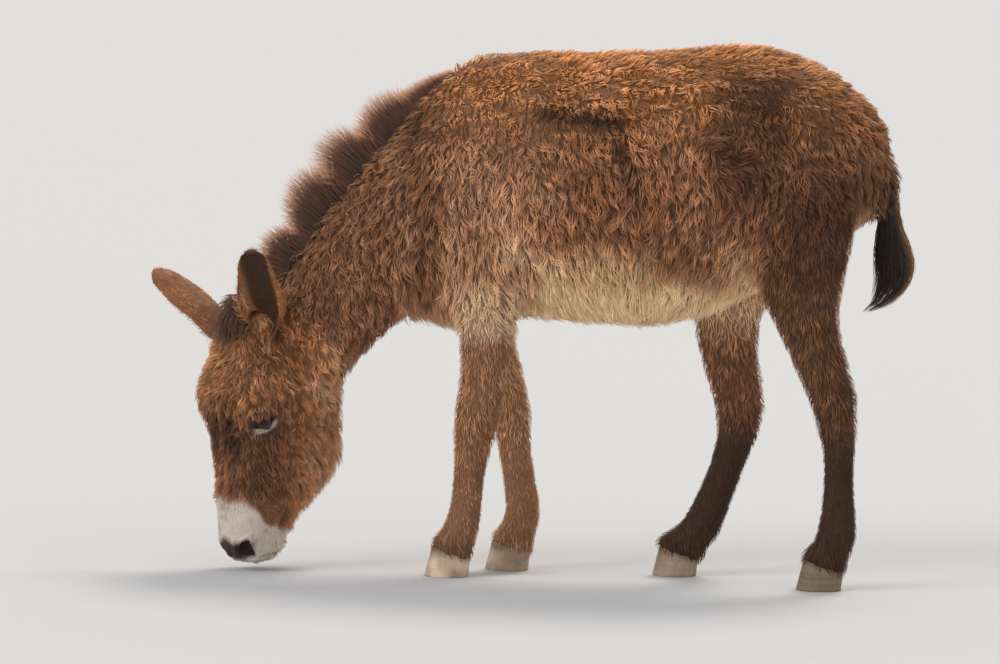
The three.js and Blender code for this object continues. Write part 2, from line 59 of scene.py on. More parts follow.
camera = bpy.data.objects.new("camera", bpy.data.cameras.new("camera"))
camera.data.lens = 134.8
camera.data.sensor_width = 36
camera.data.clip_end = 400
camera.matrix_world = Matrix.Translation(CAMERA_PLACE) @ Matrix((level, upright, -ahead)).transposed().to_4x4()
bpy.context.scene.collection.objects.link(camera)
bpy.context.scene.camera = camera

# ---------------------------------------------------------------- skin
# The hide of the whole body in one piece, from the nostrils to the dock and down to the coronets, drawn
# tight over the flesh and lying under the coat by the depth of the hair. The cups of the ears are sewn in
# at the poll.

FLESH = [
    "head", "lower_jaw", "muzzle", "neck", "shoulders", "barrel", "hindquarters",
    "forearm_left", "forearm_right", "thigh_left", "thigh_right",
    "fore_cannon_left", "fore_cannon_right", "hind_cannon_left", "hind_cannon_right", "tail_dock",
]
EARS = ["ear_left", "ear_right"]
CLOSE_GAPS = 0.0012  # the parts are swelled by this much so that they run into each other
SKIN_GRAIN = 0.0112  # spacing of the skin's points on the trunk
EAR_GRAIN = 0.0038

POLL = np.array([-0.5781, -0.0975, 0.585])
HEAD_TURN = math.radians(50)  # how far the head is turned to the donkey's left
HEAD_FRONT = np.array([-math.cos(HEAD_TURN), -math.sin(HEAD_TURN), 0])
HEAD_SIDE = np.array([math.sin(HEAD_TURN), -math.cos(HEAD_TURN), 0])
DOWN = np.array([0, 0, -1.0])
SIDES = {"left": 1, "right": -1}  # which way each side of the head lies along HEAD_SIDE

# How the coat lies over each part: depth of hair, length of a lock, its width, its rise from the skin in
# degrees, how far neighbouring locks run together, how much they wave, and how many stand on a square
# metre.
DEPTH, LENGTH, WIDTH, RISE, CLUMP, WAVE, MANY = range(7)
COAT = {
    "head": [0.010, 0.020, 0.0020, 32, 0.5, 0.9, 54000],
    "lower_jaw": [0.013, 0.031, 0.0022, 31, 0.5, 0.6, 46000],
    "muzzle": [0.0022, 0.0055, 0.0009, 13, 0.1, 0.0, 150000],
    "neck": [0.016, 0.028, 0.0023, 34, 0.52, 1.1, 34000],
    "shoulders": [0.018, 0.033, 0.0024, 32, 0.52, 1.0, 31500],
    "barrel": [0.020, 0.038, 0.0025, 32, 0.55, 1.0, 31500],
    "hindquarters": [0.018, 0.033, 0.0024, 32, 0.5, 0.9, 31500],
    "forearm": [0.009, 0.018, 0.0019, 25, 0.4, 0.4, 31500],
    "thigh": [0.010, 0.022, 0.0020, 26, 0.4, 0.4, 30000],
    "fore_cannon": [0.003, 0.011, 0.0016, 19, 0.3, 0.1, 32000],
    "hind_cannon": [0.002, 0.012, 0.0016, 20, 0.3, 0.1, 32000],
    "tail_dock": [0.007, 0.026, 0.0028, 22, 0.4, 0.2, 30000],
    "ear": [0.0022, 0.008, 0.0014, 22, 0.2, 0.0, 54000],
}


def family(node_name):
    """The part's name without its side, as the table of the coat lists it."""
    return node_name.replace("_left", "").replace("_right", "")


def ramp(value, start, end):
    """0 at start and 1 at end, with an easy run between."""
    t = np.clip((value - start) / (end - start), 0, 1)
    return t * t * (3 - 2 * t)


def hill(value, middle, half):
    """1 at the middle, falling to nothing on both sides; about a third is left at half the hill's width."""
    return np.exp(-(((value - middle) / half) ** 2))


def unit(vectors):
    return vectors / np.maximum(np.linalg.norm(vectors, axis=-1, keepdims=True), 1e-9)


def dots(a, b):
    return np.sum(a * b, axis=-1)


def flattened(vectors, out):
    """Directions laid flat on the skin that faces out."""
    return unit(vectors - dots(vectors, out)[..., None] * out)


def head_place(front, side, drop):
    """A point of the head, in metres ahead of the poll, out to its left side and down from it."""
    return POLL + front * HEAD_FRONT + side * HEAD_SIDE + drop * DOWN


def from_poll(points):
    """How far points lie ahead of the poll, out to its left side and down from it."""
    off = points - POLL
    return off @ HEAD_FRONT, off @ HEAD_SIDE, -off[:, 2]


def places(mesh):
    out = np.zeros(len(mesh.vertices) * 3)
    mesh.vertices.foreach_get("co", out)
    return out.reshape(-1, 3)


def put(mesh, points):
    mesh.vertices.foreach_set("co", np.ascontiguousarray(points, np.float32).ravel())
    mesh.update()


def facing(mesh):
    mesh.update()
    out = np.zeros(len(mesh.vertices) * 3)
    mesh.vertex_normals.foreach_get("vector", out)
    return out.reshape(-1, 3)


def edges_of(mesh):
    out = np.zeros(len(mesh.edges) * 2, np.int64)
    mesh.edges.foreach_get("vertices", out)
    return out.reshape(-1, 2)


def point_values(mesh, name, columns):
    """Keeps four values at each point of a mesh, for its material to read."""
    values = np.ascontiguousarray(columns, np.float32)
    mesh.attributes.new(name, "FLOAT_COLOR", "POINT").data.foreach_set("color", values.ravel())


def point_value(mesh, name, column):
    """Keeps one value at each point of a mesh, for its material to read."""
    mesh.attributes.new(name, "FLOAT", "POINT").data.foreach_set("value", column.astype(np.float32))


def linked(name, mesh):
    piece = bpy.data.objects.new(name, mesh)
    bpy.context.scene.collection.objects.link(piece)
    return piece


def take_up(piece):
    """Selects one piece alone, for the operators that follow."""
    bpy.ops.object.select_all(action="DESELECT")
    piece.select_set(True)
    bpy.context.view_layer.objects.active = piece


def copied(nodes):
    """Copies of some solids in one bmesh, and the node that each of its faces came from."""
    shape, came_from = bmesh.new(), []
    for node_name in nodes:
        shape.from_mesh(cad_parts[node_name].data)
        came_from += [node_name] * (len(shape.faces) - len(came_from))
    return shape, came_from


def closed(shape, name, grain, swell=0.0):
    """One closed surface of even grain over a bmesh, swelled first where its parts don't quite meet."""
    bmesh.ops.remove_doubles(shape, verts=shape.verts, dist=1e-5)
    shape.normal_update()
    for v in shape.verts:
        v.co += v.normal * swell
    piece = linked(name, bpy.data.meshes.new(name))
    shape.to_mesh(piece.data)
    shape.free()
    take_up(piece)
    piece.data.remesh_voxel_size = grain
    bpy.ops.object.voxel_remesh()
    return piece


def spread(values, edges, rounds, share=0.5):
    """Evens values out over the skin: each point moves towards its neighbours' mean, round after round."""
    flat = values.reshape(len(values), -1).astype(float)
    a, b = edges[:, 0], edges[:, 1]
    count = np.maximum(np.bincount(a, minlength=len(flat)) + np.bincount(b, minlength=len(flat)), 1)
    for _ in range(rounds):
        mean = np.empty_like(flat)
        for c in range(flat.shape[1]):
            column = flat[:, c]
            mean[:, c] = (np.bincount(a, column[b], len(flat)) + np.bincount(b, column[a], len(flat))) / count
        flat += share * (mean - flat)
    return flat.reshape(values.shape)


LATTICE_SIDE = 48
LATTICE = np.random.default_rng(11).random((LATTICE_SIDE,) * 3) * 2 - 1


def mottle(points, size, shift=0.0):
    """Soft random patches of about the given size (one number, or one for each axis), from -1 to 1."""
    p = points / np.asarray(size, float) + shift
    i = np.floor(p).astype(np.int64)
    f = p - i
    f = f * f * (3 - 2 * f)
    out = np.zeros(len(points))
    for step in np.ndindex(2, 2, 2):
        share = np.where(step, f, 1 - f)
        corner = (i + step) % LATTICE_SIDE
        out += share[:, 0] * share[:, 1] * share[:, 2] * LATTICE[corner[:, 0], corner[:, 1], corner[:, 2]]
    return out


whole, owner = copied(FLESH)
body_tree = BVHTree.FromBMesh(whole)
skin = closed(whole, "skin", SKIN_GRAIN, CLOSE_GAPS)

# finer points where the skin is folded: twice as fine on the head, four times on the muzzle and by the
# eyes, and finer still at the lids
EYE_PLACE = {side: head_place(0.032, 0.091 * hand, 0.257) for side, hand in SIDES.items()}
NOSTRIL_PLACE = {side: head_place(0.040, 0.047 * hand, 0.538) for side, hand in SIDES.items()}
HEAD_HEIGHT, MUZZLE_HEIGHT = 0.60, 0.135  # the head and the muzzle lie below these
fine = bmesh.new()
fine.from_mesh(skin.data)


def refine(wanted):
    """Halves the edges of the faces that are wanted."""
    chosen = [f for f in fine.faces if wanted(np.array(f.calc_center_median()))]
    edges = list({e for f in chosen for e in f.edges})
    bmesh.ops.subdivide_edges(fine, edges=edges, cuts=1, use_grid_fill=True)


def on_head(p):
    return abs((p - POLL) @ HEAD_SIDE) < 0.16 and -0.25 < (p - POLL) @ HEAD_FRONT < 0.14


def by_an_eye(p, reach, eyes=EYE_PLACE.values()):
    return any(np.linalg.norm(p - eye) < reach for eye in eyes)


refine(lambda p: p[2] < HEAD_HEIGHT and on_head(p))
refine(lambda p: on_head(p) and (p[2] < MUZZLE_HEIGHT or by_an_eye(p, 0.055)))
for reach in (0.032, 0.024):
    for eye in EYE_PLACE.values():
        refine(lambda p: by_an_eye(p, reach, [eye]))
fine.to_mesh(skin.data)
fine.free()

outer = places(skin.data)  # the tips of the coat, before the skin is drawn in
lines = edges_of(skin.data)
part_of = np.array([family(owner[body_tree.find_nearest(Vector(p))[2]]) for p in outer])
coat_table = spread(np.array([COAT[name] for name in part_of]), lines, 14)


def off_eyes(points):
    """How far points lie from the nearer eye."""
    return np.minimum(*(np.linalg.norm(points - eye, axis=1) for eye in EYE_PLACE.values()))


def nose_edge(front):
    """How far down the head the brown hair ends: higher on the nose than at the chin."""
    return 0.425 + 0.062 * ramp(front, 0.055, -0.015)


# the coat is deeper low on the trunk and under the jaw, shorter along the back, round the eyes and on the
# nose
z = outer[:, 2]
front, side_, drop = from_poll(outer)
is_head = np.isin(part_of, ["head", "lower_jaw", "muzzle"])
trunk = np.isin(part_of, ["barrel", "shoulders", "hindquarters"])
shagginess = trunk * ramp(z, 0.72, 0.60)
on_back = trunk * ramp(z, 0.86, 1.0)
by_eye = is_head * ramp(off_eyes(outer), 0.055, 0.026)
brow = by_eye * ramp(drop, 0.252, 0.236)
by_nose = is_head * ramp(drop - nose_edge(front), -0.012, 0.022)
by_chin = is_head * ramp(front, -0.06, -0.16) * ramp(drop, 0.24, 0.34)

NOSE_DEPTH, NOSE_LENGTH = 0.0025, 0.0065
depth = coat_table[:, DEPTH] * (1 + 0.25 * shagginess) * (1 - 0.35 * on_back)
depth = depth * (1 - 0.65 * by_eye + 0.2 * brow)
depth = spread(depth * (1 - by_nose) + NOSE_DEPTH * by_nose, lines, 4)
length = coat_table[:, LENGTH] * (1 + 0.5 * shagginess) * (1 - 0.36 * on_back)
length = length * (1 - 0.6 * by_eye + 0.75 * brow)
length = (length * (1 - by_nose) + NOSE_LENGTH * by_nose) * (1 + 0.35 * by_chin)
length = spread(length, lines, 4)

# smooth away the facets, then draw the skin in to its depth under the coat
points = spread(outer, lines, 14)
put(skin.data, points)
for _ in range(4):
    out_from = facing(skin.data)
    miss = dots(outer - points, out_from) - depth
    points = points + spread(miss, lines, 8)[:, None] * out_from
    points = spread(points, lines, 2)
    put(skin.data, points)

# the lids: a thin fold of skin over each ball, open in a narrow slit
EYE_BALL = 0.0180
EYE_SET = -0.0035  # how far the ball sits back from its middle in the solid
EYE_TURN = math.radians(24)  # how far each eye looks ahead of straight out
LID = 0.0016
SLIT_HALF = 0.0185
SLIT_TILT = math.radians(27)
UPPER_RISE, LOWER_FALL = 0.0036, 0.0060


def eye_frame(side):
    """Middle of the ball, the way it looks, the slit's long axis towards the ear, and the way to its brow."""
    away = HEAD_SIDE * SIDES[side]
    out = math.cos(EYE_TURN) * away + math.sin(EYE_TURN) * HEAD_FRONT
    back_ = math.sin(EYE_TURN) * away - math.cos(EYE_TURN) * HEAD_FRONT
    long_ = math.cos(SLIT_TILT) * back_ - math.sin(SLIT_TILT) * DOWN
    up_ = -math.cos(SLIT_TILT) * DOWN - math.sin(SLIT_TILT) * back_
    return EYE_PLACE[side] + EYE_SET * out, out, long_, up_


lid_edge = np.zeros(len(points))
for side in SIDES:
    middle, out, long_, up_ = eye_frame(side)
    v = points - middle
    l, u = v @ long_, v @ up_
    reach = np.hypot(l, u)
    near_eye = (reach < 0.045) & (v @ out > -0.030)
    hold = ramp(reach, 0.034, 0.0165) * near_eye  # 1 where the skin is drawn right down on to the ball
    brow_bone = 0.0045 * hill(u, 0.024, 0.009) * hill(l, 0.0, 0.024) * near_eye
    l, u = unit(v) @ long_ * (EYE_BALL + LID), unit(v) @ up_ * (EYE_BALL + LID)  # its place on the ball
    arch = np.clip(1 - (l / SLIT_HALF) ** 2, 0, 1)
    over, under = u - UPPER_RISE * arch, -LOWER_FALL * arch - u  # how far it lies past each edge of the slit
    outside = np.maximum(over, under)
    outside = np.where(np.abs(l) > SLIT_HALF, np.maximum(outside, np.abs(l) - SLIT_HALF), outside)
    lid_radius = EYE_BALL + LID - 0.006 * ramp(outside, 0.0006, -0.0014)
    lid_radius += 0.0006 * hill(outside, 0.0022, 0.0014)
    creases = 0.0011 * hill(over, 0.0085, 0.0016) + 0.0008 * hill(under, 0.007, 0.0014)
    lid_radius -= creases
    onto = middle + unit(v) * lid_radius[:, None]
    points = points + hold[:, None] * (onto - points) + (brow_bone * (1 - hold))[:, None] * out
    lid_edge = np.maximum(lid_edge, near_eye * hill(outside, 0.0, 0.0022) * (hold > 0.3))
put(skin.data, points)

# nostrils: a comma-shaped hollow with a raised rim in each front corner of the muzzle
front, side_, drop = from_poll(points)
out_from = facing(skin.data)
nose_hollow = np.zeros(len(points))
for side, hand in SIDES.items():
    out = unit(0.60 * HEAD_FRONT + 0.75 * hand * HEAD_SIDE + 0.25 * DOWN)
    rise_ = flattened(-DOWN + 0.35 * hand * HEAD_SIDE, out)
    v = points - NOSTRIL_PLACE[side]
    u, w = v @ rise_, v @ np.cross(out, rise_)
    ring = np.hypot(u / 0.025, (w - 0.0050 * np.sin(u / 0.013)) / (0.0175 - 0.28 * u))
    close = is_head & (v @ out > -0.03) & (ring < 3)
    nose_hollow = np.maximum(nose_hollow, close * ramp(ring, 1.12, 0.7))
    points = points + (close * (0.0030 * hill(ring, 1.35, 0.28) - 0.017 * ramp(ring, 1.1, 0.6)))[:, None] * out
# the blunt nose and the lower lip stand square over the mouth, and the line of the lips runs back from it
blunt = is_head * 0.0035 * ramp(drop, 0.505, 0.530) * ramp(front, 0.035, 0.060)
lower_lip = is_head * 0.0075 * hill(drop, 0.536, 0.022) * ramp(front, -0.015, -0.045)
points = points + blunt[:, None] * HEAD_FRONT
points = points - lower_lip[:, None] * HEAD_FRONT
mouth_line = 0.548 + 0.012 * ramp(front, -0.02, 0.05) - 0.010 * ramp(front, -0.035, -0.062)
lips = is_head * (drop > 0.50) * (front > -0.066) * (front < 0.062) * hill(drop, mouth_line, 0.0026)
full_lip = is_head * 0.0016 * hill(drop, mouth_line - 0.008, 0.005) * (front > -0.05)
points = points - (0.0055 * lips)[:, None] * out_from
points = points + full_lip[:, None] * out_from

EAR_LINES = {  # root, tip and the way the cup opens
    "left": ((-0.5221, -0.1655, 0.486), (-0.5541, -0.2215, 0.698), (-0.2, -0.95, -0.25)),
    "right": ((-0.6521, -0.0395, 0.510), (-0.8301, 0.0145, 0.640), (-0.42, 0.48, -0.77)),
}


def ear_frame(side):
    """An ear's root, its tip, the way it grows, the way its cup opens, and the way across the cup."""
    root, tip, opens = (np.array(part) for part in EAR_LINES[side])
    axis = unit(tip - root)
    opening = flattened(opens, axis)
    return root, tip, axis, opening, np.cross(axis, opening)


# a hollow in the head where each ear's cup comes down to it
for side in SIDES:
    root, tip, axis, opening, beside = ear_frame(side)
    v = points - root
    inside = is_head * ramp(np.abs(v @ beside), 0.040, 0.022)
    inside = inside * ramp(v @ axis, -0.030, 0.0) * ramp(v @ opening, -0.03, -0.01)
    points = points - (inside * np.maximum(v @ opening + 0.014, 0))[:, None] * opening
# the hide runs on down inside the tops of the hooves
points[:, 2] -= 0.012 * np.isin(part_of, ["fore_cannon", "hind_cannon"]) * ramp(outer[:, 2], 0.075, 0.050)
put(skin.data, points)

# The ears' cups join the hide: their facets are rounded and the hair's depth is taken off on both faces.
# The left ear is broadest above its middle and drawn in at its root.
ear_cups = closed(copied(EARS)[0], "ear_cups", EAR_GRAIN)
ear_points = spread(places(ear_cups.data), edges_of(ear_cups.data), 8)
put(ear_cups.data, ear_points)
ear_points = ear_points - 0.0012 * facing(ear_cups.data)
for side in SIDES:
    root, tip, axis, opening, beside = ear_frame(side)
    along = (ear_points - root) @ axis / np.linalg.norm(tip - root)
    off = (ear_points - root) @ beside
    mine = (np.abs(off) < 0.08) & (along > -0.4) & (along < 1.15)
    mine &= np.linalg.norm(ear_points - (root + tip) / 2, axis=1) < 0.17
    broader = 0.30 * ramp(along, 0.68, 0.96)
    if side == "left":
        broader += 0.12 * hill(along, 0.45, 0.2) - 0.72 * ramp(along, 0.36, 0.04)
    else:
        broader -= 0.10 * hill(along, 0.35, 0.25)
    ear_points = ear_points + (mine * broader * off)[:, None] * beside
    ear_points = ear_points + (mine * 0.012 * ramp(along, 0.34, 0.05))[:, None] * opening
put(ear_cups.data, ear_points)

together = bmesh.new()
together.from_mesh(skin.data)
together.from_mesh(ear_cups.data)
together.to_mesh(skin.data)
together.free()
bpy.data.objects.remove(ear_cups)
skin.data.shade_smooth()

# where each point of the finished skin lies
P = places(skin.data)
N = facing(skin.data)
lines = edges_of(skin.data)
x, y, z = P.T
front, side_, drop = from_poll(P)
ears_count = len(P) - len(points)


def grown(values, ear_value=0.0):
    """Values known for the body, carried on over the ears."""
    return np.concatenate([values, np.full(ears_count, float(ear_value))])


part_of = np.concatenate([part_of, np.full(ears_count, "ear")])
coat_table = np.vstack([coat_table, np.tile(COAT["ear"], (ears_count, 1))])
length = grown(length, COAT["ear"][LENGTH])
lid_edge, nose_hollow, lips, shagginess, on_back, by_eye, by_nose = (
    grown(values) for values in (lid_edge, nose_hollow, lips, shagginess, on_back, by_eye, by_nose))
is_head, is_ear, neck = grown(is_head) > 0, part_of == "ear", part_of == "neck"
trunk = np.isin(part_of, ["barrel", "shoulders", "hindquarters"])
hind = np.isin(part_of, ["thigh", "hind_cannon"])
fore = np.isin(part_of, ["forearm", "fore_cannon"])
near_side, far_side = y < 0, y > 0

ear_up, ear_inner, ear_across = np.zeros((3, len(P)))  # 0 to 1 up the ear; 1 inside its cup; metres across it
ear_axis, ear_beside = np.zeros((2, len(P), 3))
for side in SIDES:
    root, tip, axis, opening, beside = ear_frame(side)
    v = P - root
    mine = is_ear & (v @ axis > -0.06) & (np.linalg.norm(P - (root + tip) / 2, axis=1) < 0.16)
    mine &= np.abs(v @ beside) < 0.07
    ear_up[mine] = (v @ axis / np.linalg.norm(tip - root))[mine]
    ear_across[mine] = (v @ beside)[mine]
    ear_inner[mine] = ramp(N @ opening, -0.05, 0.35)[mine]
    ear_axis[mine], ear_beside[mine] = axis, beside

# Places on the head and the ears: the pale fold under each eye, pale partly by a painted highlight along the
# fold, and the dark bare skin round its slit, the bare skin of the nose, the smooth cheek, the fringed rim of
# each ear and the golden tuft inside it.
ragged = 0.020 * mottle(P, 0.030, 1.0) + 0.010 * mottle(P, 0.012, 5.0)  # unevenness of a marking's edge
crescent, eye_ring = np.zeros((2, len(P)))
for side in SIDES:
    middle, out, long_, up_ = eye_frame(side)
    v = P - middle
    l, u = v @ long_, v @ up_
    near_eye = is_head & (np.linalg.norm(v, axis=1) < 0.045) & (v @ out > -0.02)
    fold = ramp(np.abs(u + 0.0165 - 8 * l**2), 0.0085, 0.0045) * ramp(np.abs(l), 0.034, 0.020)
    crescent = np.maximum(crescent, near_eye * fold)
    eye_ring = np.maximum(eye_ring, near_eye * ramp(np.hypot(l / 0.031, (u - 0.0005) / 0.0125), 1.15, 0.8))
nose_skin = is_head * ramp(drop + 0.5 * ragged, 0.512, 0.530) * ramp(front, 0.020, 0.046)
cheek = is_head * hill(drop, 0.365, 0.075) * hill(front, 0.020, 0.055)
calm = cheek * ramp(np.abs(side_), 0.03, 0.05)
rim = ramp(np.abs(ear_across), 0.026, 0.040) * ramp(ear_inner, 0.02, 0.25)
rim = is_ear * np.maximum(rim, ramp(ear_up, 0.93, 1.0))
tuft_edge = ear_across + 0.036 - 0.030 * ramp(ear_up, 0.52, 0.12)
tuft_spot = ramp(tuft_edge, 0.005, -0.004) * ramp(ear_up, 0.62, 0.45)
tuft_spot = is_ear * ear_inner * np.maximum(tuft_spot, ramp(ear_up, 0.16, 0.08))

# Places on the body: the inner sides of the legs, the pale patch over each forearm, the dark furrow before
# the shoulder and the dark hip. The thick wool of the back ends in a ragged step across the near flank, with
# a painted shadow below it, and whirls round a crown before the hip.
THROAT, CROWN = np.array([-0.428, -0.10, 0.400]), np.array([0.441, -0.203, 0.912])
FURROW_TOP, FURROW_RUN = np.array([-0.195, 0.985]), np.array([-0.005, -0.360])  # x and z
HIP_X, HIP_Z = 0.512, 0.945
PATCH_Z = 0.575
inner_side = (fore | hind) * ramp(-N[:, 1] * np.sign(y), -0.1, 0.5)
patch_spot = ramp(np.abs(z - PATCH_Z + 1.6 * ragged), 0.082, 0.035)
patch_spot = patch_spot * ramp(x, -0.135, -0.100) * ramp(x, 0.04, -0.01)
patch_spot = (fore | (part_of == "shoulders")) * patch_spot * (0.95 + 0.3 * mottle(P, 0.035, 4.0))
from_top = P[:, [0, 2]] - FURROW_TOP
from_line = from_top - np.clip(from_top @ FURROW_RUN / (FURROW_RUN @ FURROW_RUN), 0, 1)[:, None] * FURROW_RUN
furrow = (neck | trunk) * ramp(np.linalg.norm(from_line, axis=1) + 0.8 * ragged, 0.070, 0.018)
hip = trunk * ramp(np.abs(x - HIP_X) + 0.8 * ragged, 0.110, 0.050) * ramp(np.abs(z - HIP_Z), 0.165, 0.105)
step_line = np.maximum(z - (1.010 - 0.15 * (x - 0.056)), x - (0.234 + 0.37 * (0.952 - z)))
step_line = step_line + 0.012 * mottle(P, 0.03, 12.0)
step_here = trunk * near_side * ramp(x, 0.02, 0.07) * ramp(z, 0.77, 0.84)
thatch = step_here * ramp(step_line, -0.005, 0.003) * ramp(step_line, 0.045, 0.012)
crown = P - CROWN
whirl = trunk * np.exp(-((np.linalg.norm(crown, axis=1) / 0.062) ** 2))

# The markings: reddish brown, warmer on the back, cream under the belly and inside the thighs, darker down
# the legs and round the face, grey-white on the muzzle, above the forearms and under the eyes. Part of the
# warmth on the back is painted warm light on hair that faces up.
# partly the coat's warmer back, partly painted warm light: trunk and neck hair is warmer the higher it lies and
# the more it faces up
warm = np.where(trunk | neck, ramp(z, 0.80, 1.10) * (0.55 + 0.45 * ramp(N[:, 2], -0.1, 0.8)), 0.1)
warm = np.where(is_head, 0.34 * ramp(drop, 0.27, 0.16) + 0.12 + 0.40 * ramp(front, -0.03, -0.09), warm)
warm = np.where(hind, 0.12, warm)
warm = np.where(fore, 0.15 + 0.45 * far_side, warm)
warm = np.where(is_ear, 0.75 + 0.25 * np.maximum(ear_inner, ramp(np.abs(ear_across), 0.03, 0.045)), warm)
warm = warm * (1 - 0.5 * hip)

low = z + ragged
belly_edge = 0.725 - 0.045 * ramp(x, 0.22, 0.36)  # where the brown of the flank ends
belly = 0.70 * ramp(low, belly_edge + 0.015, belly_edge - 0.03) + 0.4 * ramp(low, 0.68, 0.62)
shoulder = ramp(x, 0.12, 0.0) * ramp(z, 1.02, 0.80) * (1 + 0.6 * ramp(z, 0.80, 0.70))
pale = np.maximum.reduce([
    trunk * belly * ramp(x, -0.01, 0.07) * ramp(x, 0.50, 0.38),
    0.5 * trunk * ramp(low, 0.65, 0.57) * ramp(x, 0.06, -0.05),  # between the forelegs
    trunk * ramp(low, 0.86, 0.70) * ramp(np.abs(y), 0.13, 0.07) * ramp(x, -0.3, -0.1),  # under the chest
    0.7 * (trunk | hind) * hill(x, 0.475, 0.035) * ramp(low, 0.77, 0.70) * ramp(z, 0.52, 0.58),  # by the thigh
    0.36 * trunk * shoulder * (0.8 + 0.6 * mottle(P, 0.09, 6.0)),
    0.07 * neck * (1 + mottle(P, 0.07, 6.0)),
    0.95 * hind * inner_side * ramp(z, 0.47, 0.60),
    0.26 * fore * inner_side,
    fore * (0.16 + far_side * (0.16 + 0.30 * ramp(z, 0.34, 0.45))),
    0.24 * is_head * ramp(front, -0.06, -0.11),  # under the jaw
    0.60 * (neck | is_head) * near_side * ramp(np.hypot(*(P - THROAT).T[[0, 2]]) + ragged, 0.050, 0.015),
    patch_spot,
]) * (1 - 0.9 * furrow)
pale = np.where(is_ear, 0.40 * tuft_spot, pale)

nose_grey = is_head * ramp(drop - nose_edge(front) + 0.35 * ragged, -0.004, 0.008) * (1 - nose_skin)
nose_grey = nose_grey * (1 - 0.35 * ramp(mottle(P, 0.009, 2.0) + mottle(P, 0.03, 8.0), 0.35, 0.9))
# the fold under each eye is pale grey: partly the pale lid skin, partly a painted highlight along the fold
grey = np.maximum.reduce([nose_grey, 0.75 * crescent, 0.15 * patch_spot])

# the hind legs darken towards the hoof: partly the coat's darker colour, partly painted shade on legs turned
# from the light
gaskin = 0.66 + 0.20 * ramp(z, 0.60, 0.72) * ramp(x, 0.50, 0.60) + 0.34 * ramp(z, 0.40, 0.27)
gaskin = gaskin - (0.16 * inner_side + 0.22 * far_side) * ramp(z, 0.30, 0.40)
dark = neck * (0.27 + 0.10 * ramp(z, 0.62, 0.80)) + 0.46 * furrow
dark = dark + hind * gaskin + 0.16 * fore * ramp(z, 0.36, 0.26)
face_side = is_head * ramp(drop, 0.23, 0.30) * ramp(drop, 0.47, 0.40) * ramp(front, -0.045, 0.0)
dark = np.maximum.reduce([
    dark,
    hip * (0.70 + 0.15 * mottle(P, 0.06, 9.0)),
    # rear of the hindquarters, darker low down: partly the coat's darker colour, partly painted shade
    (part_of == "hindquarters") * ramp(x, 0.42, 0.66) * (0.34 + 0.50 * ramp(z, 0.97, 0.78)),
    (part_of == "tail_dock") * (0.7 + 0.3 * ramp(z, 0.86, 0.80)),
    0.16 * is_head * (1 - ramp(front, -0.03, -0.09)),
    0.52 * face_side * ramp(np.abs(side_), 0.03, 0.06),
    1.25 * is_head * hill(drop, 0.283, 0.060) * hill(np.abs(side_), 0.028, 0.032) * ramp(front, 0.02, 0.05),
    # darker close round each eye: partly its dark ring, partly painted shade under the brow
    0.75 * by_eye * ramp(off_eyes(P), 0.052, 0.030),
]) + 0.12 * cheek
top_of_head = is_head * ramp(drop, 0.11, 0.05) * ramp(np.abs(side_), 0.095, 0.055)
dark = np.maximum.reduce([dark, 0.62 * top_of_head, nose_skin])
# ears are darker inside the cup than on the back: partly their own colour, partly painted shade in the cup's
# hollow; lighter at the rim
dark = np.where(is_ear, (0.30 + 0.7 * ear_inner * (1 - 0.8 * tuft_spot)) * (1 - rim), dark) * (1 - tuft_spot)
# painted shade: the foot of each ear's cup and the fold of skin under it are darkened as hollows; the golden
# lock is the hair's own colour
for side in SIDES:  # dark in the cup's foot, with a golden lock in it, and in the fold of skin under it
    root, tip, axis, opening, beside = ear_frame(side)
    v = P - root
    a, b, c = v @ axis, v @ opening, v @ beside
    foot = is_head * ramp(np.abs(c), 0.036, 0.024) * ramp(b, -0.04, -0.02)
    golden = foot * ramp(a, -0.012, 0.0) * ramp(a, 0.09, 0.06) * ramp(c, 0.004, -0.006)
    fold = is_head * hill(a, -0.030 - 4 * c**2, 0.009) * ramp(np.abs(c), 0.050, 0.030) * ramp(b, -0.02, 0.01)
    foot = foot * ramp(a, -0.004, 0.010) * ramp(a, 0.13, 0.10)
    pale, warm = np.maximum(pale, 0.45 * golden), np.maximum(warm, golden)
    dark = np.maximum.reduce([dark * (1 - golden), 0.9 * (1 - golden) * foot, 0.5 * fold])
dark = np.maximum(dark, 0.85 * fore * ramp(z, 0.100, 0.066))
# painted shadow under the step of the wool: a dark band just below its edge and lighter shade further down
painted_shadow_under_step = 0.20 * ramp(step_line, 0.0, -0.012) * ramp(step_line, -0.14, -0.03)
dark = dark + step_here * (hill(step_line, -0.012, 0.013) + painted_shadow_under_step) + 0.40 * whirl**3

warm, pale, grey, dark = (np.clip(spread(v, lines, 3), 0, 1) for v in (warm, pale, grey, dark))
pale *= 1 - grey
marks = np.column_stack([pale, dark, warm, grey])
bare = np.maximum.reduce([
    nose_hollow, lid_edge, 0.9 * eye_ring * (1 - crescent), 0.75 * lips * (by_nose > 0.5), 0.6 * nose_skin])
bare = np.clip(bare, 0, 1)
point_values(skin.data, "marks", marks)
point_value(skin.data, "bare", bare)

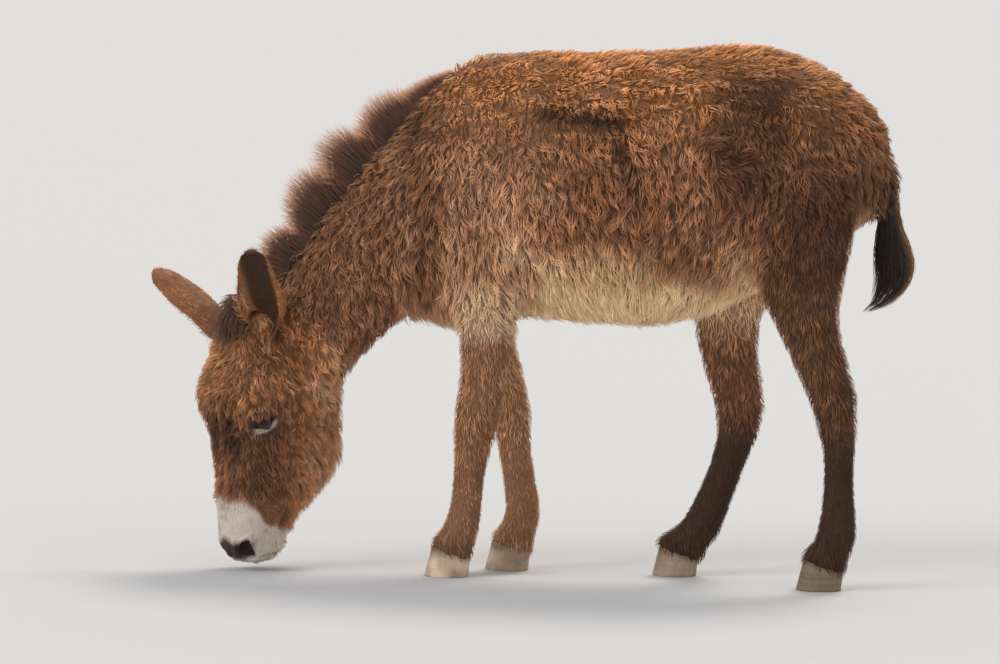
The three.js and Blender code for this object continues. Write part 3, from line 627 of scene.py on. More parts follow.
# how long the hair is, and how it lies: down the face and legs, back and down over the neck and trunk,
# straight back along the spine, out from the middle of each ear's cup, and round the crown
by_ear = np.zeros(len(P))  # the hair is short where an ear's cup opens on the head
for side in SIDES:
    root, tip, opens = (np.array(part) for part in EAR_LINES[side])
    hollow = root + 0.01 * unit(opens) + 0.12 * (tip - root)
    by_ear = np.maximum(by_ear, is_head * ramp(np.linalg.norm(P - hollow, axis=1), 0.045, 0.026))
coronet = np.isin(part_of, ["fore_cannon", "hind_cannon"]) * ramp(z, 0.135, 0.085)
length = length * (1 - np.maximum(0.6 * crescent, 0.75 * eye_ring))
for share, place in ((-0.42, calm), (-0.3, patch_spot), (1.0, tuft_spot), (0.6, thatch), (0.7, coronet),
                     (0.35, rim), (-0.6, by_ear)):
    length = length * (1 + share * place)
coat_table[:, WAVE] *= 1 - 0.8 * calm
rise = np.radians(coat_table[:, RISE]) * (1 + 0.30 * shagginess + 0.4 * thatch) + np.radians(30) * rim
LIE_BACK = {  # how far the hair leans back while it runs down
    "head": 0, "lower_jaw": 0.1, "muzzle": 0, "ear": 0, "neck": 0.22, "shoulders": 0.30, "barrel": 0.42,
    "hindquarters": 0.22, "tail_dock": 0.05, "forearm": 0.08, "thigh": 0.05,
    "fore_cannon": 0.10, "hind_cannon": 0.10,
}
lie = np.array([(LIE_BACK[name], 0, -1) for name in part_of], float)
lie[:, 0] += trunk * 0.5 * ramp(z, 0.98, 1.10)
lie[:, 0] -= trunk * 0.55 * ramp(x, 0.12, 0.34) * ramp(x, 0.62, 0.45) * ramp(z, 0.95, 0.80)
from_brow = 0.35 * np.sign(side_) * ramp(np.abs(side_), 0.0, 0.05) * ramp(drop, 0.26, 0.1)
lie -= (is_head * 0.5 * ramp(front, 0.02, -0.08))[:, None] * HEAD_FRONT
lie += (is_head * from_brow)[:, None] * HEAD_SIDE
lie[is_ear] = (ear_axis + (0.55 * ear_inner * np.sign(ear_across))[:, None] * ear_beside)[is_ear]
lie = lie * (1 - whirl)[:, None] + (1.6 * whirl)[:, None] * (unit(np.cross(N, crown)) + 0.4 * unit(crown))
lie = flattened(spread(lie, lines, 6), N)


def give(tree, value, socket):
    """Links a value to a socket of a material, or sets the socket to a plain number or colour."""
    if isinstance(value, bpy.types.NodeSocket):
        tree.links.new(value, socket)
    else:
        socket.default_value = (*value, 1) if socket.type == "RGBA" else value


def node(tree, kind, inputs=(), **settings):
    """A new node with its settings made and its named inputs given."""
    made = tree.nodes.new(kind)
    for key, value in settings.items():
        setattr(made, key, value)
    for key, value in dict(inputs).items():
        give(tree, value, made.inputs[key])
    return made


def mixed(tree, kind, share, a, b):
    """Two colours mixed; share, a and b are sockets or plain values."""
    return node(tree, "ShaderNodeMix", {0: share, 6: a, 7: b}, data_type="RGBA", blend_type=kind).outputs[2]


def reckoned(tree, kind, *numbers):
    """A sum of numbers; each is a socket or a plain value."""
    return node(tree, "ShaderNodeMath", dict(enumerate(numbers)), operation=kind).outputs[0]


def four_values(tree, name):
    """The four values that a mesh keeps at its points under a name."""
    kept = node(tree, "ShaderNodeAttribute", attribute_name=name)
    parts = node(tree, "ShaderNodeSeparateColor", {0: kept.outputs["Color"]})
    return *parts.outputs, kept.outputs["Alpha"]


def one_value(tree, name):
    """The one value that a mesh keeps at its points under a name."""
    return node(tree, "ShaderNodeAttribute", attribute_name=name).outputs["Fac"]


def speckle(tree, scale, detail=2, stretch=(1, 1, 1), turn=(0, 0, 0)):
    """Noise through the solid from 0 to 1, of about so many swings to a metre; stretch alters that by axis."""
    where = node(tree, "ShaderNodeTexCoord").outputs["Object"]
    if stretch != (1, 1, 1):
        fitted = {"Vector": where, "Scale": stretch, "Rotation": turn}
        where = node(tree, "ShaderNodeMapping", fitted).outputs[0]
    return node(tree, "ShaderNodeTexNoise", {"Vector": where, "Scale": scale, "Detail": detail}).outputs[0]


def finish(name, **looks):
    """A new material, with values set on its shader's own sockets; returns it, its tree and its shader."""
    made = bpy.data.materials.new(name)
    made.use_nodes = True
    shader = made.node_tree.nodes["Principled BSDF"]
    for key, value in looks.items():
        give(made.node_tree, value, shader.inputs[key.replace("_", " ")])
    return made, made.node_tree, shader


def in_relief(tree, shader, height, depth):
    """Fine relief on a shader, of the given depth in metres."""
    bump = node(tree, "ShaderNodeBump", {"Strength": 0.5, "Distance": depth, "Height": height})
    give(tree, bump.outputs[0], shader.inputs["Normal"])


# the colours of the hair, mixed by the markings and a little uneven; the same for hide and hair
hair_colours = bpy.data.node_groups.new("hair_colours", "ShaderNodeTree")
for name, kind, value in (
    ("Markings", "Color", (0, 0, 0, 1)), ("Grey", "Float", 0.0), ("Unevenness", "Float", 0.25),
    ("Brown", "Color", (0.41, 0.180, 0.088, 1)), ("Orange", "Color", (0.67, 0.295, 0.114, 1)),
    ("Tan", "Color", (0.66, 0.360, 0.195, 1)), ("Cream", "Color", (0.95, 0.68, 0.39, 1)),
    ("Dark", "Color", (0.078, 0.031, 0.013, 1)), ("Grey white", "Color", (0.68, 0.60, 0.53, 1)),
):
    socket = hair_colours.interface.new_socket(name=name, in_out="INPUT", socket_type="NodeSocket" + kind)
    socket.default_value = value
hair_colours.interface.new_socket(name="Colour", in_out="OUTPUT", socket_type="NodeSocketColor")
tree = hair_colours
given = node(tree, "NodeGroupInput").outputs
paleness, darkness, warmth = node(tree, "ShaderNodeSeparateColor", {0: given["Markings"]}).outputs
colour = mixed(tree, "MIX", warmth, given["Brown"], given["Orange"])
colour = mixed(tree, "MIX", darkness, colour, given["Dark"])
colour = mixed(tree, "MIX", reckoned(tree, "MULTIPLY", paleness, 2.0), colour, given["Tan"])
colour = mixed(tree, "MIX", reckoned(tree, "MULTIPLY_ADD", paleness, 2.0, -1.0), colour, given["Cream"])
colour = mixed(tree, "MIX", given["Grey"], colour, given["Grey white"])
swing = reckoned(tree, "SUBTRACT", speckle(tree, 14, 3), 0.5)
swing = reckoned(tree, "MULTIPLY", swing, given["Unevenness"])
lightness, fullness = reckoned(tree, "MULTIPLY_ADD", swing, 2.2, 1.0), reckoned(tree, "SUBTRACT", 1.0, swing)
tint = node(tree, "ShaderNodeHueSaturation", {"Value": lightness, "Saturation": fullness, "Color": colour})
node(tree, "NodeGroupOutput", {0: tint.outputs[0]})


def hair_finish(name, **looks):
    """A material for hair or hide, its tree, its shader and its colour, which is mixed by the markings."""
    made, tree, shader = finish(name, **looks)
    markings = node(tree, "ShaderNodeAttribute", attribute_name="marks").outputs
    group = node(tree, "ShaderNodeGroup", node_tree=hair_colours)
    give(tree, markings["Color"], group.inputs["Markings"])
    give(tree, markings["Alpha"], group.inputs["Grey"])
    return made, tree, shader, group.outputs[0]


hide, tree, shader, colour = hair_finish("hide", Specular_IOR_Level=0.3)
naked = one_value(tree, "bare")
nap = speckle(tree, 900, 2, (1, 1, 0.12))
pores = speckle(tree, 420, 4)
*_, greyness = four_values(tree, "marks")
# painted shade under the coat: away from the grey places the hide is darkened well below the hair's colour, as
# it lies in the coat's shade
colour = mixed(tree, "MULTIPLY", reckoned(tree, "SUBTRACT", 1.0, greyness), colour, (0.44, 0.41, 0.40))
colour = mixed(tree, "MIX", reckoned(tree, "MULTIPLY_ADD", nap, 0.35, -0.1), colour, (0.03, 0.018, 0.012))
colour = mixed(tree, "MIX", naked, colour, (0.020, 0.015, 0.013))
give(tree, colour, shader.inputs["Base Color"])
give(tree, reckoned(tree, "MULTIPLY_ADD", naked, -0.22, 0.62), shader.inputs["Roughness"])
in_relief(tree, shader, reckoned(tree, "ADD", nap, pores), 0.0012)
skin.data.materials.append(hide)
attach(skin, "root")
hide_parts(*FLESH, *EARS)

# ---------------------------------------------------------------- coat
# Woolly hair all over, twenty to forty millimetres deep on the body and short on the face and feet. Each
# tuft is a thin closed blade rooted in the skin; neighbouring tufts run together into crimped, tapering
# locks.

GUIDES = 13000  # locks that the tufts are drawn into
PATCH = 0.003  # side of a tuft's patch on the bake map
ROOT_DEEP = 0.0012  # how deep a tuft is rooted under the skin
OFF_FLOOR = 0.004

dice = np.random.default_rng(5)
skin.data.calc_loop_triangles()
corners = np.zeros(len(skin.data.loop_triangles) * 3, np.int64)
skin.data.loop_triangles.foreach_get("vertices", corners)
corners = corners.reshape(-1, 3)
first, second, third = P[corners].transpose(1, 0, 2)
area = np.linalg.norm(np.cross(second - first, third - first), axis=1) / 2
crowd = coat_table[:, MANY] * (1 - ramp(np.maximum(bare, 0.9 * lid_edge), 0.2, 0.6))
crowd = crowd * (1 + 0.14 * on_back) * (1 - 0.6 * by_ear)
crowd = np.where(is_ear, crowd * (1 - 0.5 * ear_inner) * (1 + 1.2 * rim), crowd)
ways = np.column_stack([length, coat_table[:, WIDTH], rise, coat_table[:, CLUMP], coat_table[:, WAVE]])


def tufts_on(faces):
    """How many tufts each of these faces of the skin carries."""
    return area[faces] * crowd[corners[faces]].mean(1)


def at_roots(values, face, share):
    """A value of the skin's points, read at the roots."""
    return np.einsum("nc,nc...->n...", share, values[corners[face]])


def rooted(faces, count):
    """Hairs evenly strewn over faces of the skin: the face of each and its shares of the face's corners, its
    root, the way the skin faces, the way the hair lies, and its length, width, rise, clump and wave."""
    heap = np.cumsum(tufts_on(faces))
    spots = (np.arange(count) + dice.random(count)) / count * heap[-1]
    face = faces[np.minimum(np.searchsorted(heap, spots), len(faces) - 1)]
    a, b = np.sqrt(dice.random(count)), dice.random(count)
    share = np.column_stack([1 - a, a * (1 - b), a * b])
    root, out, along, way = (at_roots(values, face, share) for values in (P, N, lie, ways))
    out = unit(out)
    return face, share, root, out, flattened(along, out), way.T


def strands(root, out, along, long_, rise_, steps):
    """Centre lines of hairs that leave the skin at their rise and lean over as they grow."""
    line = [root]
    for k in range(steps):
        slope = rise_ * (1.3 - 0.95 * (k + 0.5) / steps)
        step = np.cos(slope)[:, None] * along + np.sin(slope)[:, None] * out
        line.append(line[-1] + step * (long_ / steps)[:, None])
    return np.stack(line, 1)


def turned(vectors, axis, angle):
    """Vectors turned about the axis that each stands across."""
    return np.cos(angle)[..., None] * vectors + np.sin(angle)[..., None] * np.cross(axis, vectors)


def ringed(values, rings):
    """Values along hairs, three for each ring of a blade and one for its tip."""
    return np.concatenate([np.repeat(values[:, :rings], 3, 1), values[:, rings:]], 1)


def blade_faces(rings):
    """The faces of one blade, three-sided and closed at both ends: the points round each face in turn, the start
    of each face among them, and their places on the map, from a corner of the blade's patch."""
    loops, starts, uv = [0, 1, 2], [0], [(0, 0), (0.4, 0), (0.2, 0.5 / rings)]
    for k in range(rings):
        low_v, high_v = (k or 0.5) / rings, (k + 1) / rings
        for j in range(3):
            i, left_u, right_u = (j + 1) % 3, j / 3, (j + 1) / 3
            starts.append(len(loops))
            loops += [3 * k + i, 3 * k + j]
            uv += [(right_u, low_v), (left_u, low_v)]
            if k < rings - 1:
                loops += [3 * k + 3 + j, 3 * k + 3 + i]
                uv += [(left_u, high_v), (right_u, high_v)]
            else:
                loops += [3 * rings]
                uv += [((left_u + right_u) / 2, high_v)]
    return np.array(loops), np.array(starts), np.array(uv) * PATCH


def blades(name, middles, width, out, mark, shade, ripple, patch, material, face_to=None):
    """Closed three-sided blades along centre lines, with the markings and the map patch of their roots. How each
    blade takes the light is mixed with the way the coat about it faces."""
    n, rings = middles.shape[0], middles.shape[1] - 1
    face_to = out if face_to is None else face_to
    if face_to.ndim == 2:
        face_to = np.repeat(face_to[:, None], rings + 1, 1)
    share = np.arange(rings) / rings
    profile = np.where(share < 0.3, 0.75 + share, 1.05 * (1 - share) ** 0.75)
    along = np.gradient(middles, axis=1)[:, :rings]
    side = unit(np.cross(along, out[:, None]))
    ridge = unit(np.cross(side, along))
    spin = dice.normal(0, 0.45, n)[:, None, None]
    side, ridge = np.cos(spin) * side + np.sin(spin) * ridge, np.cos(spin) * ridge - np.sin(spin) * side
    half = (width[:, None] * profile)[..., None]
    middle = middles[:, :rings]
    ring = np.stack([middle - 0.5 * half * side, middle + 0.5 * half * side, middle + 0.42 * half * ridge], 2)
    per = rings * 3 + 1
    loops, starts, uv = blade_faces(rings)
    number = np.arange(n)[:, None]

    mesh = bpy.data.meshes.new(name)
    mesh.vertices.add(n * per)
    mesh.loops.add(n * len(loops))
    mesh.polygons.add(n * len(starts))
    put_points = np.concatenate([ring.reshape(n, rings * 3, 3), middles[:, rings:]], 1)
    mesh.vertices.foreach_set("co", put_points.astype(np.float32).ravel())
    mesh.loops.foreach_set("vertex_index", (loops + per * number).astype(np.int32).ravel())
    mesh.polygons.foreach_set("loop_start", (starts + len(loops) * number).astype(np.int32).ravel())
    mesh.update(calc_edges=True)
    mesh.shade_smooth()
    soft = unit(0.42 * facing(mesh).reshape(n, per, 3) + 0.58 * ringed(face_to, rings))
    mesh.normals_split_custom_set_from_vertices(soft.reshape(-1, 3))
    layer = mesh.uv_layers.new(name="OFBake")
    layer.data.foreach_set("uv", (patch[:, None] + uv - PATCH / 2).astype(np.float32).ravel())
    hair = np.ones((n, per, 4))
    hair[..., 0] = np.append(np.repeat(share, 3), 1.0)
    hair[..., 1] = shade[:, None]
    hair[..., 2] = ringed(ripple, rings)
    point_values(mesh, "hair", hair)
    point_values(mesh, "marks", np.repeat(mark, per, 0))
    mesh.materials.append(material)
    piece = linked(name, mesh)
    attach(piece, "root")
    return piece


def unwrapped(faces):
    """An unwrap of these faces of the skin by their own shape, as the corners' places on the map."""
    used, local = np.unique(corners[faces], return_inverse=True)
    sheet = bpy.data.meshes.new("unwrap")
    sheet.from_pydata(P[used].tolist(), [], local.reshape(-1, 3).tolist())
    helper = linked("unwrap", sheet)
    take_up(helper)
    bpy.ops.object.mode_set(mode="EDIT")
    bpy.ops.mesh.select_all(action="SELECT")
    bpy.ops.uv.smart_project(angle_limit=math.radians(66), island_margin=0.006)
    bpy.ops.object.mode_set(mode="OBJECT")
    uv = np.zeros(len(faces) * 6)
    sheet.uv_layers.active.data.foreach_get("uv", uv)
    bpy.data.objects.remove(helper)
    return uv.reshape(-1, 3, 2) * 0.99 + 0.005


_, _, guide_root, guide_out, guide_lie, guide_ways = rooted(np.arange(len(corners)), GUIDES)
guide_length, _, guide_rise, _, guide_wave = guide_ways
guide_turn = dice.normal(0, 1, GUIDES) * (0.08 + 0.34 * guide_wave)
guide_lie = turned(guide_lie, guide_out, guide_turn)
guide_length = guide_length * dice.uniform(0.85, 1.2, GUIDES)
guide_rise = guide_rise * dice.uniform(0.75, 1.3, GUIDES)
guide_phase = dice.uniform(0, 2 * math.pi, GUIDES)
guide_shade = dice.normal(0, 1, GUIDES)
guide_tree = KDTree(GUIDES)
for i, place in enumerate(guide_root):
    guide_tree.insert(place, i)
guide_tree.balance()


def crimp(points):
    """The wool's crimp, from -1 to 1: rows that run along the back, and small round curls lower down."""
    rows = mottle(points, (0.034, 0.034, 0.0105), 2.0)
    curls = mottle(points, (0.011, 0.011, 0.014), 9.0)
    upper = ramp(points[:, 2], 0.78, 0.98) * ramp(points[:, 0], -0.42, -0.22)
    return np.clip(2.4 * rows * upper + 1.7 * curls * (1 - upper), -1, 1)


def slopes(points, reach=0.0025):
    """How steeply the crimp rises along each axis, to a metre."""
    return np.column_stack([(crimp(points + s) - crimp(points - s)) / (2 * reach) for s in np.eye(3) * reach])


def coat_piece(name, faces, steps):
    """One piece of the coat over some faces of the skin; each tuft has so many steps from root to tip."""
    count = int(tufts_on(faces).sum())
    face, share, root, out, along, (long_, width, rise_, clump, wave) = rooted(faces, count)
    lock = np.array([guide_tree.find(place)[1] for place in root])
    along = turned(along, out, dice.normal(0, 0.16, count) + 0.5 * guide_turn[lock])
    long_ = long_ * dice.uniform(0.8, 1.2, count)
    line = strands(root, out, along, long_, rise_ * dice.uniform(0.7, 1.35, count), steps)
    guide = strands(guide_root, guide_out, guide_lie, guide_length, guide_rise, steps)[lock]
    up = np.arange(steps + 1) / steps

    # drawn towards its lock, waved from side to side, then crimped with the wool about it
    line = line + (clump[:, None] * up ** 1.3)[..., None] * (guide - line)
    swings = up * (long_ / 0.026)[:, None] * 2 * math.pi + guide_phase[lock][:, None]
    line = line + (wave[:, None] * 0.0045 * up * np.sin(swings))[..., None] * np.cross(out, along)[:, None]
    ripple = crimp(line.reshape(-1, 3)).reshape(count, -1)
    slope = slopes(line.reshape(-1, 3)).reshape(count, steps + 1, 3) * (wave * 0.0052)[:, None, None]
    slope = slope - dots(slope, out[:, None])[..., None] * out[:, None]
    swell = wave[:, None] * 0.0060 * np.minimum(up * 2, 1) * (0.3 + 0.7 * ripple)
    line = line + swell[..., None] * out[:, None]
    line[:, :, 2] = np.maximum(line[:, :, 2], OFF_FLOOR)
    line[:, 0] -= ROOT_DEEP * out

    patch = np.einsum("nc,ncu->nu", share, unwrapped(faces)[np.searchsorted(faces, face)])
    shade = 0.5 + 0.13 * guide_shade[lock] + dice.normal(0, 0.11, count)
    width = width * dice.uniform(0.75, 1.3, count)
    mark = at_roots(marks, face, share)
    face_to = unit(out[:, None] - slope)
    # the crimp also goes to the material as ripple, where it paints shade into the crimp's hollows
    piece = blades(name, line, width, out, mark, shade, 0.5 + 0.5 * ripple, patch, wool, face_to)


wool, tree, shader, colour = hair_finish(
    "wool", Roughness=0.58, Specular_IOR_Level=0.25,
    Sheen_Weight=0.12, Sheen_Tint=(0.95, 0.60, 0.42), Sheen_Roughness=0.5)
to_tip, shade, ripple, _ = four_values(tree, "hair")
# each tuft is darker towards its root: partly its lighter tips, partly painted shade down among the tufts
light = reckoned(tree, "MULTIPLY_ADD", reckoned(tree, "POWER", to_tip, 0.8), 0.95, 0.45)
light = reckoned(tree, "MULTIPLY", light, reckoned(tree, "MULTIPLY_ADD", shade, 1.1, 0.45))
# painted shade in the hollows of the crimp, painted light on its crests
light = reckoned(tree, "MULTIPLY", light, reckoned(tree, "MULTIPLY_ADD", ripple, 0.85, 0.575))
paleness, _, _, greyness = four_values(tree, "marks")
even = reckoned(tree, "MULTIPLY", reckoned(tree, "MAXIMUM", paleness, greyness), 0.7)  # pale hair shades less
light = reckoned(tree, "MULTIPLY_ADD", reckoned(tree, "SUBTRACT", 1.32, light), even, light)
shaded = node(tree, "ShaderNodeHueSaturation", {"Color": colour, "Value": light})
give(tree, shaded.outputs[0], shader.inputs["Base Color"])

part = part_of[corners[:, 0]]
middles = P[corners].mean(1)
_, out_left, below = from_poll(middles)
left = middles[:, 1] < 0
head_faces = is_head[corners[:, 0]]
nose_faces = head_faces & (below > 0.44)
for name, chosen, steps in (
    ("muzzle", nose_faces, 2),
    ("face_left", head_faces & ~nose_faces & (out_left > 0), 3),
    ("face_right", head_faces & ~nose_faces & (out_left <= 0), 3),
    ("ears", part == "ear", 2),
    ("neck_left", (part == "neck") & left, 3), ("neck_right", (part == "neck") & ~left, 3),
    ("shoulder_left", (part == "shoulders") & left, 3), ("shoulder_right", (part == "shoulders") & ~left, 3),
    ("flank_left", (part == "barrel") & left, 3), ("flank_right", (part == "barrel") & ~left, 3),
    ("rump_left", (part == "hindquarters") & left, 3), ("rump_right", (part == "hindquarters") & ~left, 3),
    ("upper_legs", np.isin(part, ["forearm", "thigh"]), 3),
    ("lower_legs", np.isin(part, ["fore_cannon", "hind_cannon"]), 2),
    ("dock", part == "tail_dock", 3),
):
    coat_piece("coat_" + name, np.flatnonzero(chosen), steps)

# ---------------------------------------------------------------- mane
# Coarse upright hair along the crest of the neck, standing in a row of soft clumps: dark at the roots,
# paler and frayed at the tips, lowest at the withers and between the ears.

MANE = np.array([  # along the crest from the withers to the poll: x, y, z, height and half width
    (-0.1661, 0.0005, 1.078, 0.010, 0.012), (-0.2141, 0.0005, 1.040, 0.030, 0.015),
    (-0.2661, -0.0025, 0.980, 0.066, 0.018), (-0.3181, -0.0085, 0.920, 0.088, 0.020),
    (-0.3701, -0.0175, 0.860, 0.098, 0.020), (-0.4221, -0.0285, 0.796, 0.094, 0.018),
    (-0.4721, -0.0385, 0.731, 0.078, 0.016), (-0.5241, -0.0505, 0.664, 0.058, 0.014),
    (-0.5641, -0.0655, 0.602, 0.044, 0.012),
])
MANE_PARTS = np.array([0.0, 0.20, 0.39, 0.56, 0.775, 0.915, 1.0])  # where the clumps part along the crest
CLUMP_APART = np.array([0.25, 0.6, 0.9, 1.0, 1.0, 0.9])  # how far each clump stands apart from the next
CLUMP_LEAN = np.array([0.10, -0.10, 0.12, -0.06, 0.16, 0.0])
MANE_HAIRS = 5400
MANE_STEPS = 4
MANE_ROOT = 0.030  # how deep the hairs start under the crest


def run_along(table, t):
    """Rows read along a table of stations, by share of its length, with an even run between them."""
    at = np.clip(t, 0, 1) * (len(table) - 1)
    i = np.minimum(at.astype(int), len(table) - 2)
    f = (at - i)[:, None]
    before, after = table[np.maximum(i - 1, 0)], table[np.minimum(i + 2, len(table) - 1)]
    a, b = table[i], table[i + 1]
    square, cube = 2 * before - 5 * a + 4 * b - after, 3 * a - before - 3 * b + after
    return 0.5 * (2 * a + (b - before) * f + square * f**2 + cube * f**3)


def long_hair_finish(name, root, middle, tip, **looks):
    """Long hair that runs from one colour at the root over another to a third at the tip."""
    made, tree, shader = finish(name, Specular_IOR_Level=0.3, **looks)
    to_tip, shade, _, _ = four_values(tree, "hair")
    bands = node(tree, "ShaderNodeValToRGB", {0: to_tip})
    stops = bands.color_ramp.elements
    stops[0].color, stops[1].color = (*root, 1), (*tip, 1)
    stops.new(0.66).color = (*middle, 1)
    light = reckoned(tree, "MULTIPLY_ADD", shade, 1.2, 0.4)
    shaded = node(tree, "ShaderNodeHueSaturation", {"Color": bands.outputs[0], "Value": light})
    give(tree, shaded.outputs[0], shader.inputs["Base Color"])
    return made, tree, shader, shaded.outputs[0]


def long_hair(name, hairs, width, shade, out, at, material, face_to=None, warmth=0.0):
    """A piece of long hair; at is each hair's place along the piece, and its height on the bake map."""
    count, points_each = hairs.shape[:2]
    mark = np.zeros((count, 4))
    mark[:, 2] = warmth
    patch = np.column_stack([0.05 + 0.9 * dice.random(count), 0.05 + 0.9 * at])
    even = np.full((count, points_each), 0.5)
    piece = blades(name, hairs, width, out, mark, shade, even, patch, material, face_to)
    return piece


t = (np.arange(MANE_HAIRS) + dice.random(MANE_HAIRS)) / MANE_HAIRS
spine = run_along(MANE, t)
crest = unit(run_along(MANE, t + 0.02)[:, :3] - run_along(MANE, t - 0.02)[:, :3])
stand = unit(np.cross(crest, [0, 1.0, 0]))
stand *= np.sign(stand[:, 2:])
beside = np.cross(stand, crest)
off = dice.uniform(-1, 1, MANE_HAIRS)
number = np.clip(np.searchsorted(MANE_PARTS, t, side="right") - 1, 0, len(CLUMP_LEAN) - 1)
clump = (t - MANE_PARTS[number]) / (MANE_PARTS[number + 1] - MANE_PARTS[number]) * 2 - 1
apart = CLUMP_APART[number]
lean = 0.36 * clump * apart + CLUMP_LEAN[number]
tall = spine[:, 3] * (1.16 - 0.80 * apart * np.abs(clump) ** 2.2) * dice.uniform(0.76, 1.10, MANE_HAIRS)
base = spine[:, :3] - MANE_ROOT * stand + (off * spine[:, 4])[:, None] * beside
up = np.linspace(0, 1, MANE_STEPS + 1)[None, :, None]
sprawl = dice.normal(0, 0.10, (MANE_HAIRS, 3))
lean_out, lean_on = (0.16 * off + sprawl[:, 0])[:, None, None], (lean + sprawl[:, 1])[:, None, None]
grow = stand[:, None] + lean_out * beside[:, None] + lean_on * (up - 0.25) * crest[:, None]
hairs = base[:, None] + (MANE_ROOT + tall)[:, None, None] * up * grow
wave = up * np.sin(up * 7 + dice.uniform(0, 6.3, MANE_HAIRS)[:, None, None])
hairs += 0.004 * wave * crest[:, None]
mane_hair = long_hair_finish(
    "mane_hair", (0.010, 0.007, 0.006), (0.120, 0.046, 0.027), (0.80, 0.43, 0.27),
    Roughness=0.6, Sheen_Weight=0.1)[0]
width = dice.uniform(0.0017, 0.0028, MANE_HAIRS)
# painted shade inside the clumps: hairs in the middle of each clump and along the middle of the crest are darker
shade = 0.36 + dice.normal(0, 0.12, MANE_HAIRS) + 0.26 * np.abs(clump) ** 1.5 + 0.12 * np.abs(off)
face_to = unit(off[:, None] * beside + 0.55 * stand)
mane = long_hair("mane_hair", hairs, width, shade, beside, t, mane_hair, face_to)
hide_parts("mane")

# ---------------------------------------------------------------- forelock
# The end of the mane, a soft dark tuft that falls forward between the ears on to the forehead.

FORELOCK = np.array([  # how far ahead of the poll and below it
    (-0.030, 0.004), (0.005, -0.004), (0.040, 0.006), (0.066, 0.040), (0.080, 0.082), (0.086, 0.115)])
FORELOCK_HAIRS = 1400
FORELOCK_STEPS = 5
start = dice.uniform(0.0, 0.55, FORELOCK_HAIRS)
end = np.minimum(start + dice.uniform(0.28, 0.5, FORELOCK_HAIRS), 1)
off = np.clip(dice.normal(0, 0.55, FORELOCK_HAIRS), -1.1, 1.1)
lift = dice.uniform(-0.008, 0.009, FORELOCK_HAIRS)
frizz = dice.normal(0, 1, (FORELOCK_HAIRS, 2)) * 0.014
hairs = []
for s in np.arange(FORELOCK_STEPS + 1) / FORELOCK_STEPS:
    ahead_by, down_by = run_along(FORELOCK, start + (end - start) * s).T
    ahead_by = ahead_by - 0.012 + 0.010 * math.sin(math.pi * s) - 0.012 * off**2 + lift + frizz[:, 1] * s
    side_by = off * (0.032 + 0.012 * s) + frizz[:, 0] * s
    down_by = down_by + 0.002 - 0.012 * s
    hairs.append(head_place(ahead_by[:, None], side_by[:, None], down_by[:, None]))
forelock_hair = long_hair_finish(
    "forelock_hair", (0.035, 0.019, 0.013), (0.095, 0.043, 0.026), (0.26, 0.115, 0.060),
    Roughness=0.6, Sheen_Weight=0.15)[0]
width = dice.uniform(0.0018, 0.003, FORELOCK_HAIRS)
shade = 0.5 + dice.normal(0, 0.14, FORELOCK_HAIRS)
out = np.tile(HEAD_FRONT, (FORELOCK_HAIRS, 1))
face_to = unit(HEAD_FRONT + 0.7 * off[:, None] * HEAD_SIDE)
forelock = long_hair("forelock_hair", np.stack(hairs, 1), width, shade, out, start, forelock_hair, face_to)
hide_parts("forelock")

# ---------------------------------------------------------------- tail switch
# The long hair of the tail: a black, slightly wavy brush from the end of the dock that curls forward at its
# tip, with a reddish lock at the back.

TAIL = np.array([  # x, z, half depth and half width along the tail
    (0.7319, 0.930, 0.008, 0.008), (0.7599, 0.906, 0.014, 0.014), (0.7769, 0.866, 0.017, 0.017),
    (0.7769, 0.818, 0.019, 0.019), (0.7789, 0.772, 0.026, 0.022), (0.7859, 0.728, 0.037, 0.027),
    (0.7909, 0.688, 0.043, 0.027), (0.7869, 0.650, 0.038, 0.024), (0.7699, 0.616, 0.027, 0.018),
    (0.7459, 0.596, 0.014, 0.011), (0.7279, 0.587, 0.004, 0.004),
])
TAIL_Y = 0.0005
SWITCH_HAIRS = 1150
SWITCH_STEPS = 8
start = dice.beta(1.3, 2.2, SWITCH_HAIRS) * 0.42 + 0.13
end = np.minimum(start + dice.uniform(0.30, 0.62, SWITCH_HAIRS), 1.0) * dice.uniform(0.86, 1.0, SWITCH_HAIRS)
angle = dice.uniform(0, 2 * math.pi, SWITCH_HAIRS)
ring = np.sqrt(dice.random(SWITCH_HAIRS))
phase = dice.integers(0, 14, SWITCH_HAIRS) * 0.9
hairs = []
for s in np.arange(SWITCH_STEPS + 1) / SWITCH_STEPS:
    tail_x, tail_z, half_depth, half_width = run_along(TAIL, start + (end - start) * s).T
    out_by = (0.30 + 0.70 * ring) * (0.35 + 0.65 * min(1, 2.5 * s))
    hairs.append(np.column_stack([
        tail_x + out_by * half_depth * np.cos(angle + 0.3 * s) + 0.0045 * s * np.sin(9 * s + phase),
        TAIL_Y + out_by * half_width * np.sin(angle + 0.3 * s) + 0.0035 * s * np.cos(8 * s + phase),
        tail_z - 0.006 * s * ring,
    ]))
behind = ramp(np.cos(angle), 0.45, 0.9) * (ring > 0.45)
switch_hair, tree, shader, colour = long_hair_finish(
    "switch_hair", (0.026, 0.017, 0.014), (0.020, 0.014, 0.012), (0.036, 0.020, 0.012),
    Roughness=0.5, Sheen_Weight=0.1)
_, _, warmth, _ = four_values(tree, "marks")
give(tree, mixed(tree, "MIX", warmth, colour, (0.24, 0.10, 0.035)), shader.inputs["Base Color"])
width = dice.uniform(0.0022, 0.0038, SWITCH_HAIRS)
shade = 0.5 + dice.normal(0, 0.12, SWITCH_HAIRS)
out = np.column_stack([np.cos(angle), np.sin(angle), 0 * angle])
switch = long_hair("tail_hair", np.stack(hairs, 1), width, shade, out, start, switch_hair, warmth=behind)
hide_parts("tail_switch")

